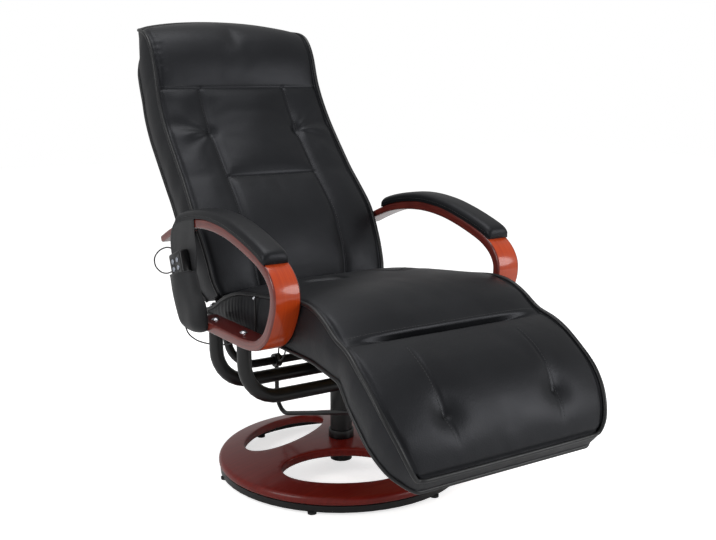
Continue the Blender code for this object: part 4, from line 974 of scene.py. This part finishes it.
def cover_points(places, fullness):
    u, v, w = places.T
    lines = (COVER_TOP, cover_underside(), -left_normals(COVER_TOP))
    face, rear, normal = (read_line(COVER_SHARES, line, v) for line in lines)
    share = foot_share(v)
    half = cover_widths(v) - FOOT_TIP_TAPER * w * ramp(share, 0.80, 0.20)
    rise = np.where(v < CREASE, SEAT_CROWN * read_off(SEAT_RISES, v / CREASE),
                    FOOT_CROWN * read_off(FOOT_RISES, share))
    lift = fullness * rise * crown(u) * (1.0 - w) ** 2
    flat = face + (rear - face) * w[:, None] + normal * lift[:, None]
    # The underside is hollow over the seat board and the footrest's hinge
    hollow = (w > EDGE) & (np.abs(u) < 0.915) & (v > 0.02) & (v < CREASE + 0.02)
    roof = np.where(v < 0.8 * CREASE, BOARD_TOP + 2 * FIT, FRONT_ROOF)
    flat[:, 1] = np.where(hollow, np.maximum(flat[:, 1], roof), flat[:, 1])
    return np.column_stack([swollen_width(u, v, w, half, COVER_SWELL), flat])


def over_hinge(piece):
    """Bakes a piece's placement into its mesh."""
    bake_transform(piece)


def seat_and_footrest():
    vs = spaced([*np.linspace(0.0, CREASE, round(CREASE / ROW_PITCH)),
                 *np.linspace(CREASE, 1.0, round((1.0 - CREASE) / ROW_PITCH))])
    ws = np.array((0.0, 0.06, 0.2, 0.4, 0.6, 0.8, 0.94, 1.0))
    places, quads = box_skin(across_lines(0.915, 0.935, 0.960, 0.982), vs, ws)
    u, v, _ = places.T
    from_tuft = np.hypot((np.abs(u) - SIDE_SEAM) * FOOT_HALF, (v - FOOT_TUFT_ROW) * COVER_LENGTH)
    seams = (np.abs(v - CREASE) < CLOSE) | (v < TAIL_PINNED) | (from_tuft < FOOT_TUFT_PIN)
    piece = stuffed("seat_and_footrest_cover", places, quads, cover_points, seams, COVER_CAP)
    mesh = piece.data
    u, v, w = places_of(mesh).T
    mirrored, t = np.abs(u * cover_widths(v)), v * COVER_LENGTH
    foot = foot_share(v)
    middle = eased_ramp(ramp(-np.abs(u), -0.96, 0.62))
    crease_depth = CREASE_EDGE_DEPTH + CREASE_EXTRA_DEPTH * middle
    height = sunk((v - CREASE) * COVER_LENGTH, crease_depth, CREASE_SPREAD)
    away = np.hypot(mirrored - FOOT_TUFT[0], t - FOOT_TUFT[1])
    for hollow in FOOT_TUFT_HOLLOWS:
        height += sunk(away, *hollow)
    seam = ramp(foot, 0.12, 0.125) * ramp(-foot, -0.86, 0.125)
    height += sunk((np.abs(u) - SIDE_SEAM) * FOOT_SEAM_HALF, *FOOT_SEAM) * seam * (v > CREASE)
    for start, end, rise, width in SEAT_WRINKLES:
        height += fold(mirrored, t, start, end, rise, width)
    height = height * np.clip(crown(u), 0.0, 1.0) ** 0.4 + edge_groove(u, COVER_GROOVE_HALF, COVER_GROOVE)
    height += sunk((1.0 - v) * COVER_LENGTH - GROOVE_INSET, TIP_GROOVE, GROOVE_SPREAD) * (v < EDGE)
    lift_points(mesh, w < CLOSE, height)
    gather = 0.0005 * np.sin(t / 0.0029 + 2.0 * np.sin(t / 0.031)) * np.sin(np.pi * w) * bell(v - 0.16, 0.12)
    lift_points(mesh, on_side(u, w), gather)
    over_hinge(piece)
    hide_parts("seat_cushion", "footrest_cushion")
    return piece


# Piping and seams

def edge_points(mesh, axis, value, w):
    """Every other point along a cushion's edge, a little proud of it."""
    places = places_of(mesh)
    found = np.nonzero((np.abs(places[:, axis] - value) < CLOSE) & (np.abs(places[:, 2] - w) < CLOSE))[0]
    order = found[np.argsort(places[found, 1 - axis])]
    return (points_of(mesh) + PIPING_PROUD * normals_of(mesh))[order][::2]


def eased(path, rounds=3):
    """A path with its corners rounded a little."""
    path = np.array(path)
    for _ in range(rounds):
        path[1:-1] = 0.25 * path[:-2] + 0.5 * path[1:-1] + 0.25 * path[2:]
    return path


def piping(name, cushion):
    """Corded edges up one side of a cushion, across its end and down the other, on its face and rear."""
    tubes = []
    for w in (0.0, 1.0):
        right, left = (edge_points(cushion.data, 0, u, w) for u in (-1.0, 1.0))
        across = edge_points(cushion.data, 1, 1.0, w)
        tubes.append(sweep(eased(np.vstack([right, across[1:-1], left[::-1]])), PIPING_RADIUS))
    return make_piece(name, joined(tubes, name), PIPING, shift=False)


def back_stitches(cushion):
    read = surface_reader(cushion.data)
    beside, above = 0.020, 0.007
    lines = []
    for side in (-1, 1):
        seam = np.linspace(0.03, HEAD_SEAM - 0.012, 110)
        lines.append([read(side * (SIDE_SEAM + beside), v) for v in seam])
    lines.append([read(u, HEAD_SEAM + above) for u in np.linspace(-0.965, 0.965, 90)])
    panel = np.linspace(-SIDE_SEAM + beside, SIDE_SEAM - beside, 60)
    lines.append([read(u, PANEL_SEAM - above) for u in panel])
    dress(stitch("back_stitches", lines), "black_leather", "backrest")


def cover_stitches(cover):
    read = surface_reader(cover.data)
    behind, beside = 0.018, 0.012
    line = [read(u, CREASE - behind) for u in np.linspace(-0.93, 0.93, 100)]
    dress(stitch("seat_stitches", [line]), "black_leather", "frame")
    seam = CREASE + (1.0 - CREASE) * np.linspace(0.16, 0.84, 70)
    lines = [[read(side * (SIDE_SEAM + beside), v) for v in seam] for side in (-1, 1)]
    dress(stitch("footrest_stitches", lines), "black_leather", "footrest")


# Arms and pads

ARM_CORNER = 0.0045
ARM_ROUND_OFF = 0.0075
ARM_BEND_SHARE = 0.40
PLY_BAND = 0.0030
SECTION_START_GAP = 0.0085
PAD_ROUND_OFF = 0.020
PAD_TUCK = 0.0016
PAD_TUCK_HEIGHT = 0.004
PAD_TUCK_SPREAD = 0.0022
PAD_STITCH_HEIGHT = 0.0075
PAD_STITCH_SHARE = 0.995


def arm_stations(shares):
    path = smooth_line(ARM_PATH, shares)
    path[:, 1] += RAIL_MIDDLE
    half = np.interp(shares, (0.0, 0.75, 1.0), (ARM_THICK, ARM_THICK, ARM_TIP_THICK)) / 2
    return path, left_normals(path), half


def end_rounding(path, reach):
    """A quarter circle's height over the last stretch of both ends of a path, and one between them."""
    total = distances(path)
    near = np.minimum(1.0, np.minimum(total, total[-1] - total) / reach)
    return np.sqrt(1.0 - (1.0 - near) ** 2)


def rounded_section(half_wide, half_thick, radius, steps=5):
    """A rounded rectangle's outline as (across, up)."""
    outline = []
    for cx, cz, start in ((1, 1, 0.0), (-1, 1, 90.0), (-1, -1, 180.0), (1, -1, 270.0)):
        for a in np.radians(start + np.linspace(0.0, 90.0, steps)):
            outline.append((cx * (half_wide - radius) + radius * math.cos(a),
                            cz * (half_thick - radius) + radius * math.sin(a)))
    return np.array(outline)


def arm(name, side):
    """A bent plywood arm with eased edges, which carries its grain's run, marks its ply edges and marks its
    inner faces for painted shade.
    """
    near_end = np.array((0.0, 0.0008, 0.0025, 0.006))
    shares = spaced([*near_end, *np.linspace(0.012, 0.988, 150), *(1.0 - near_end)])
    path, out, half = arm_stations(shares)
    shrinks = ARM_ROUND_OFF * (1.0 - end_rounding(path, ARM_ROUND_OFF)) * 0.8
    widths = ARM_WIDTH + ARM_BEND_EXTRA * bell(shares - ARM_BEND_SHARE, 0.16)
    points, runs, edges, inner_shade = [], [], [], []
    for (y, z), (ny, nz), thick, shrink, wide, run in zip(path, out, half, shrinks, widths, distances(path)):
        middle = side * (SIDE_ARM - (wide - ARM_WIDTH) / 2)
        section = rounded_section(wide / 2 - shrink, thick - shrink * 0.6, ARM_CORNER)
        for (x, n), way in zip(section, distances(section)):
            points.append((middle + x, y + ny * n, z + nz * n))
            runs.append((run, way))
            edges.append(float(abs(x) > wide / 2 - shrink - PLY_BAND))
            # Faces on the loop's inside are marked for painted shade
            inner_shade.append(float(n < 0.0))
    mesh = mesh_of(points, tube_faces(len(shares), len(section)), name)
    layer = mesh.uv_layers.new(name="grain")
    wrap = max(way for _, way in runs) + SECTION_START_GAP
    for polygon in mesh.polygons:
        found = [runs[mesh.loops[i].vertex_index] for i in polygon.loop_indices]
        ways = [way for _, way in found]
        across_start = max(ways) - min(ways) > wrap / 2 and polygon.loop_total == 4
        for i, (run, way) in zip(polygon.loop_indices, found):
            layer.data[i].uv = (run, way + (wrap if across_start and way < wrap / 2 else 0.0))
    for label, values in (("ply_edge", edges), ("inner_face_painted_shade", inner_shade)):
        mesh.attributes.new(label, "FLOAT", "POINT").data.foreach_set("value", np.array(values, np.float32))
    dress(make_piece(name + "_lacquered", mesh, CHERRY, sharp=50.0), "cherry_lacquer", "frame", name)


def arm_pad(name, side):
    """A leather pad along the arm's top: a flat-bottomed arch with a tuck above its lower edge."""
    shares = np.linspace(PAD_START, PAD_END, 84)
    path, out, half = arm_stations(shares)
    under = path + out * (half + FIT)[:, None]
    angles = np.linspace(0.0, math.pi, 25)
    wide = ARM_WIDTH / 2 + PAD_OVERHANG
    points = []
    for (y, z), (ny, nz), ease in zip(under, out, end_rounding(under, PAD_ROUND_OFF)):
        tall = PAD_HEIGHT * (0.35 + 0.65 * ease)
        reach = wide * (0.93 + 0.07 * ease)
        for a in angles:
            c, n = math.cos(a), math.sin(a)
            x = reach * math.copysign(abs(c) ** 0.55, c)
            h = tall * abs(n) ** 0.62
            tuck = PAD_TUCK * bell(h - PAD_TUCK_HEIGHT, PAD_TUCK_SPREAD)
            x -= math.copysign(tuck, x) if abs(x) > 0.8 * reach else 0.0
            points.append((side * SIDE_ARM + x, y + ny * h, z + nz * h))
    mesh = mesh_of(points, tube_faces(len(shares), len(angles)), name)
    piece = make_piece(name + "_cover", mesh, LEATHER, sharp=60.0)
    dress(piece, "black_leather", "frame", name)
    sewn = (under + out * PAD_STITCH_HEIGHT)[3:-3]
    lines = []
    for aside in (-wide * PAD_STITCH_SHARE, wide * PAD_STITCH_SHARE):
        lines.append([SHIFT + Vector((side * SIDE_ARM + aside, y, z)) for y, z in sewn])
    dress(stitch(name + "_stitches", lines), "black_leather", "frame")


def side_tie(name, side):
    """A thin black upright with a bright screw, between the seat's side and the arm."""
    bm = bmesh.new()
    middle = (side * TIE_PLACE[0], TIE_PLACE[1], (TIE_LOW + TIE_HIGH) / 2)
    size = Vector((TIE_THICK, TIE_WIDTH, TIE_HIGH - TIE_LOW))
    bmesh.ops.create_cube(bm, size=1.0, matrix=Matrix.LocRotScale(middle, None, size))
    bmesh.ops.bevel(bm, geom=bm.edges[:], offset=TIE_BEVEL, segments=2, profile=0.5, affect="EDGES")
    strip = f"seat_tie_{name}"
    dress(make_piece(strip, mesh_from(bm, strip), POWDER, sharp=40.0), "black_powder_coat", "frame")
    bm = bmesh.new()
    head = (side * (TIE_PLACE[0] + TIE_THICK / 2 + TIE_SCREW_PROUD), TIE_PLACE[1], TIE_HIGH - TIE_SCREW_DROP)
    bmesh.ops.create_uvsphere(bm, u_segments=20, v_segments=12, radius=TIE_SCREW_RADIUS,
                              matrix=Matrix.Translation(head))
    screw = f"seat_tie_screw_{name}"
    dress(make_piece(screw, mesh_from(bm, screw), ZINC), "zinc_plate", "frame")


# Base disc

def sharp_edges(bm, angle):
    return [e for e in bm.edges if len(e.link_faces) == 2 and e.calc_face_angle() > angle]


def round_edges(bm, edges, offset, segments):
    bmesh.ops.bevel(bm, geom=edges, offset=offset, segments=segments, profile=0.5, affect="EDGES",
                    clamp_overlap=True)


def disc_top(radius):
    return HUB_HEIGHT - (HUB_HEIGHT - RIM_HEIGHT) * (radius / BASE_RADIUS) ** 2


def base_disc():
    """A domed disc with three oval openings, cut flat, eased at its rims and then bent to the dome."""
    bm = bmesh.new()
    edges = []

    def oval(reach, half_wide, half_long, turn, count):
        verts = []
        for a in np.linspace(0.0, math.tau, count, endpoint=False):
            r, t = reach + half_wide * math.cos(a), half_long * math.sin(a)
            verts.append(bm.verts.new((r * math.cos(turn) - t * math.sin(turn),
                                       r * math.sin(turn) + t * math.cos(turn), 0.0)))
        for a, b in zip(verts, verts[1:] + verts[:1]):
            edges.append(bm.edges.new((a, b)))

    oval(0.0, BASE_RADIUS, BASE_RADIUS, 0.0, 160)
    bore = COLUMN_RADIUS + FIT
    oval(0.0, bore, bore, 0.0, 40)
    for i in range(3):
        oval(BASE_RADIUS - RIM_WIDTH - OPENING_WIDTH / 2, OPENING_WIDTH / 2, OPENING_LENGTH / 2,
             math.tau * i / 3, 96)
    bmesh.ops.triangle_fill(bm, edges=edges, use_beauty=True, use_dissolve=False)
    grown = bmesh.ops.extrude_face_region(bm, geom=bm.faces[:])
    lifted = [v for v in grown["geom"] if isinstance(v, bmesh.types.BMVert)]
    bmesh.ops.translate(bm, vec=(0.0, 0.0, DISC_THICK), verts=lifted)
    bmesh.ops.recalc_face_normals(bm, faces=bm.faces)
    rims = sharp_edges(bm, RIM_ANGLE)
    flat = [e for e in bm.edges if e not in rims]
    bmesh.ops.dissolve_limit(bm, angle_limit=0.01, verts=bm.verts, edges=flat)
    rims = sharp_edges(bm, RIM_ANGLE)
    outer = [e for e in rims if min(math.hypot(v.co.x, v.co.y) for v in e.verts) > BASE_RADIUS - 0.002]
    round_edges(bm, [e for e in rims if e not in outer], OPENING_BEVEL, 3)
    round_edges(bm, outer, RIM_BEVEL, 6)
    # Cuts every 15 mm, so that the dome bends smoothly
    for across in (Vector((1.0, 0.0, 0.0)), Vector((0.0, 1.0, 0.0))):
        for cut in np.arange(-0.285, 0.29, 0.015):
            bmesh.ops.bisect_plane(bm, geom=bm.verts[:] + bm.edges[:] + bm.faces[:],
                                   plane_co=across * float(cut), plane_no=across)
    for vert in bm.verts:
        vert.co.z += disc_top(math.hypot(vert.co.x, vert.co.y)) - DISC_THICK
    bmesh.ops.triangulate(bm, faces=[f for f in bm.faces if len(f.verts) > 4])
    piece = make_piece("base_disc_lacquered", mesh_from(bm, "base_disc_lacquered"), MAHOGANY, sharp=40.0)
    dress(piece, "mahogany_lacquer", "base", "base_disc")


# Steel, plastic and rubber pieces: the solids with smooth faces and softened edges

SMOOTH_UP_TO = 38.0  # degrees between faces
BEVEL_FROM = 50.0


def softened(node, bevel=0.0):
    bm = bmesh.new()
    bm.from_mesh(nodes[node].data)
    bmesh.ops.remove_doubles(bm, verts=bm.verts, dist=1e-5)
    bmesh.ops.dissolve_limit(bm, angle_limit=math.radians(0.5), verts=bm.verts, edges=bm.edges)
    if bevel:
        round_edges(bm, sharp_edges(bm, math.radians(BEVEL_FROM)), bevel, 2)
    name = node + "_finished"
    finish = FINISH[slot_of[node]]
    piece = make_piece(name, mesh_from(bm, name), finish, sharp=SMOOTH_UP_TO, shift=False)
    dress(piece, slot_of[node], nodes[node]["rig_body"], node)


# Cords

def cord(name, route, count, node, span=None):
    """A cord that goes back into the object; one given a span is left off the bodies."""
    path = smooth_line(route, np.linspace(0.0, 1.0, count)) + np.array(SHIFT)
    piece = make_piece(name, sweep(path, CORD_RADIUS, 12, name), SLEEVE, sharp=50.0, shift=False)
    if span:
        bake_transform(piece)
        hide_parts(node)
    else:
        dress(piece, "black_rubber", "frame", node)


def cords():
    """The handset's cable from the gland to the handset, and the motors' cable from the control box."""
    lead = 6 * CORD_RADIUS
    handset = Matrix.Translation((HANDSET_MIDDLE, *HANDSET_FOOT)) @ Matrix.Rotation(
        -math.radians(HANDSET_LEAN), 4, "X")
    reach = HANDSET_WIDTH / 2 + FIT
    start = [(GLAND_EXIT[0] - step, GLAND_EXIT[1], CORD_LEVEL) for step in (0.0, lead)]
    end = [tuple(handset @ Vector((0.0, reach + step, CORD_EXIT))) for step in (2 * lead, lead, 0.0)]
    span = [SHIFT + Vector((x, 0.0, 0.0)) for x in CORD_SPAN]
    cord("handset_cable", [*start, *HANDSET_CORD, *end], 152, "handset_cord", span)
    out = [(MOTOR_CORD_EXIT, -FIT - step, CORD_LEVEL) for step in (0.0, lead)]
    up = [(*MOTOR_CORD[-1][:2], MOTOR_CORD_TOP - step) for step in (lead, 0.0)]
    cord("motor_cable", [*out, *MOTOR_CORD, *up], 48, "motor_lead")


# Pouch

FLAP_FACE = -POUCH_INNER - 0.0006
POCKET_INSIDE = -POUCH_INNER - 0.0008
NYLON_THICK = 0.0012
HEM_RADIUS = 0.0022
POCKET_SAG = 0.010
POCKET_EXTRA = 0.002
POCKET_CREASE = 0.0022
POCKET_FLOOR = 0.22  # the share of the height over which the pocket's floor rounds off


def pouch():
    """A nylon pocket for the handset, on a flap that hangs from the arm."""
    rows, columns = np.linspace(0.0, 1.0, 41), np.linspace(0.0, 1.0, 29)
    left, right = smooth_line(POCKET_LEFT, rows), smooth_line(POCKET_RIGHT, rows)
    front, back = [], []
    for v, low, high in zip(rows, left, right):
        floor_round = math.sqrt(1.0 - (1.0 - min(1.0, v / POCKET_FLOOR)) ** 2)
        for u in columns:
            y, z = low + (high - low) * u
            z -= POCKET_SAG * math.sin(math.pi * u) * (1.0 - v) ** 4
            full = (1.0 - abs(2.0 * u - 1.0) ** 3.2) ** 0.6 * floor_round if 0.0 < u < 1.0 else 0.0
            crease = POCKET_CREASE * math.sin(9.0 * u + 4.0 * v) * (0.4 + 0.6 * v)
            fat = (POUCH_THICK + POCKET_EXTRA + crease) * full
            front.append((min(-POUCH_INNER - fat, POCKET_INSIDE), y, z))
            back.append((POCKET_INSIDE, y, z))
    faces = [face for first in (0, len(front)) for face in grid_faces(len(rows), len(columns), first)]
    piece = make_piece("pouch_pocket", mesh_of(front + back, faces, "pocket", NYLON_THICK), NYLON)
    wall = piece.modifiers.new("cloth", "SOLIDIFY")
    wall.thickness = NYLON_THICK
    wall.offset = 1.0
    add_subdivision(piece)
    dress(piece, "black_nylon", "frame", "pouch")
    rim = [SHIFT + Vector(p) for p in front[1 - len(columns):-1]]
    hem = make_piece("pouch_hem", sweep(rim, HEM_RADIUS, 8, "pouch_hem"), NYLON, shift=False)
    dress(hem, "black_nylon", "frame")


def flap_thickness(u, v):
    """The flap is thin enough for the handset to slide up past it."""
    ripple = 0.0006 * math.sin(7.0 * u + 2.0 * v) * math.sin(math.pi * v)
    return NYLON_THICK + 0.0010 * math.sin(math.pi * u) * math.sin(math.pi * v) ** 0.5 + abs(ripple)


def pouch_flap():
    """The flap that carries the pouch: it comes down from under the arm pad."""
    rows, columns = np.linspace(0.0, 1.0, 25), np.linspace(0.0, 1.0, 21)
    front, rear = smooth_line(FLAP_FRONT, rows), smooth_line(FLAP_REAR, rows)

    def outside(i, u):
        y, z = front[i] + (rear[i] - front[i]) * u
        return FLAP_FACE - flap_thickness(u, rows[i]), y, z

    outer = [outside(i, u) for i in range(len(rows)) for u in columns]
    count, layer = len(columns), len(outer)
    faces = [face for first in (0, layer) for face in grid_faces(len(rows), count, first)]
    border = [i * count for i in range(len(rows))]
    border += [layer - count + j for j in range(1, count)]
    border += [layer - 1 - i * count for i in range(1, len(rows))]
    border += [count - 1 - j for j in range(1, count - 1)]
    faces += [(a, b, b + layer, a + layer) for a, b in zip(border, border[1:] + border[:1])]
    points = [(FLAP_FACE, y, z) for _, y, z in outer] + outer
    piece = make_piece("pouch_flap", mesh_of(points, faces, "pouch_flap"), NYLON, sharp=50.0)
    dress(piece, "black_nylon", "frame")
    lines = [[SHIFT + Vector(outside(i, u)) for i in range(1, len(rows) - 1)] for u in (0.06, 0.94)]
    dress(stitch("pouch_stitches", lines), "black_nylon", "frame")


# Stage

def background_rays(tree):
    """One where the background is looked at or seen through glass, and part of it in reflections."""
    rays = put(tree, "ShaderNodeLightPath", {}).outputs
    glossy = put(tree, "ShaderNodeMath", {0: rays["Is Glossy Ray"], 1: MIRRORED_SHARE}, operation="MULTIPLY")
    clear = put(tree, "ShaderNodeMath", {0: rays["Is Camera Ray"], 1: rays["Is Transmission Ray"]},
                operation="MAXIMUM")
    return put(tree, "ShaderNodeMath", {0: glossy, 1: clear}, operation="MAXIMUM")


def stage():
    """A pale floor in a white room, three soft lamps and the photo's camera."""
    bm = bmesh.new()
    bmesh.ops.create_grid(bm, x_segments=1, y_segments=1, size=FLOOR_SIZE)
    floor = placed("floor", mesh_from(bm, "floor"))
    made, tree = new_material("pale_studio_floor")
    seen = background_rays(tree)
    glow = put(tree, "ShaderNodeMapRange", {"Value": seen, "To Min": 0.0, "To Max": FLOOR_GLOW})
    surface(made, Base_Color=linear("#f4f4f4"), Roughness=0.9, Specular_IOR_Level=0.1,
            Emission_Color=WHITE, Emission_Strength=glow)
    floor.data.materials.append(made)

    scene = bpy.context.scene
    scene.view_settings.view_transform = "Standard"
    scene.world = bpy.data.worlds.new("pale_studio")
    scene.world.use_nodes = True
    tree = scene.world.node_tree
    tree.nodes.clear()
    seen = background_rays(tree)
    level = put(tree, "ShaderNodeMapRange", {"Value": seen, "To Min": ROOM_LIGHT, "To Max": 1.0})
    back = put(tree, "ShaderNodeBackground", {"Color": WHITE, "Strength": level})
    put(tree, "ShaderNodeOutputWorld", {"Surface": back})

    for label, place, size, power in LAMPS:
        lamp = bpy.data.lights.new(label, "AREA")
        lamp.shape = "DISK"
        lamp.size = size
        lamp.energy = power
        holder = placed(label, lamp)
        holder.location = place
        holder.rotation_euler = (LAMP_AIM - Vector(place)).to_track_quat("-Z", "Y").to_euler()

    camera = placed("camera", bpy.data.cameras.new("camera"))
    camera.data.lens = CAMERA_LENS
    camera.location = CAMERA_PLACE + SHIFT
    camera.rotation_euler = [math.radians(a) for a in CAMERA_TURN]
    scene.camera = camera


# Assembly

EDGED = ("column_collar", "column_nut", "swivel_plate", "seat_rail_left", "seat_rail_right",
         "seat_bracket_left", "seat_bracket_right", "footrest_frame", "seat_board")
EDGED_BEVEL = 0.0008
HANDSET_BEVEL = 0.0040

stage()
cords()
back = back_cushion()
back_rear_panel()
dress(piping("back_piping", back), "black_leather", "backrest")
back_stitches(back)
cover = seat_and_footrest()
over_hinge(piping("seat_and_footrest_piping", cover))
cover_stitches(cover)
for name, side in (("right", -1), ("left", 1)):
    arm(f"arm_{name}", side)
    arm_pad(f"arm_pad_{name}", side)
    side_tie(name, side)
base_disc()
pouch()
pouch_flap()
for node in EDGED:
    softened(node, EDGED_BEVEL)
softened("handset_case", HANDSET_BEVEL)
for node in sorted(nodes):
    if not nodes[node].hide_render:
        softened(node)
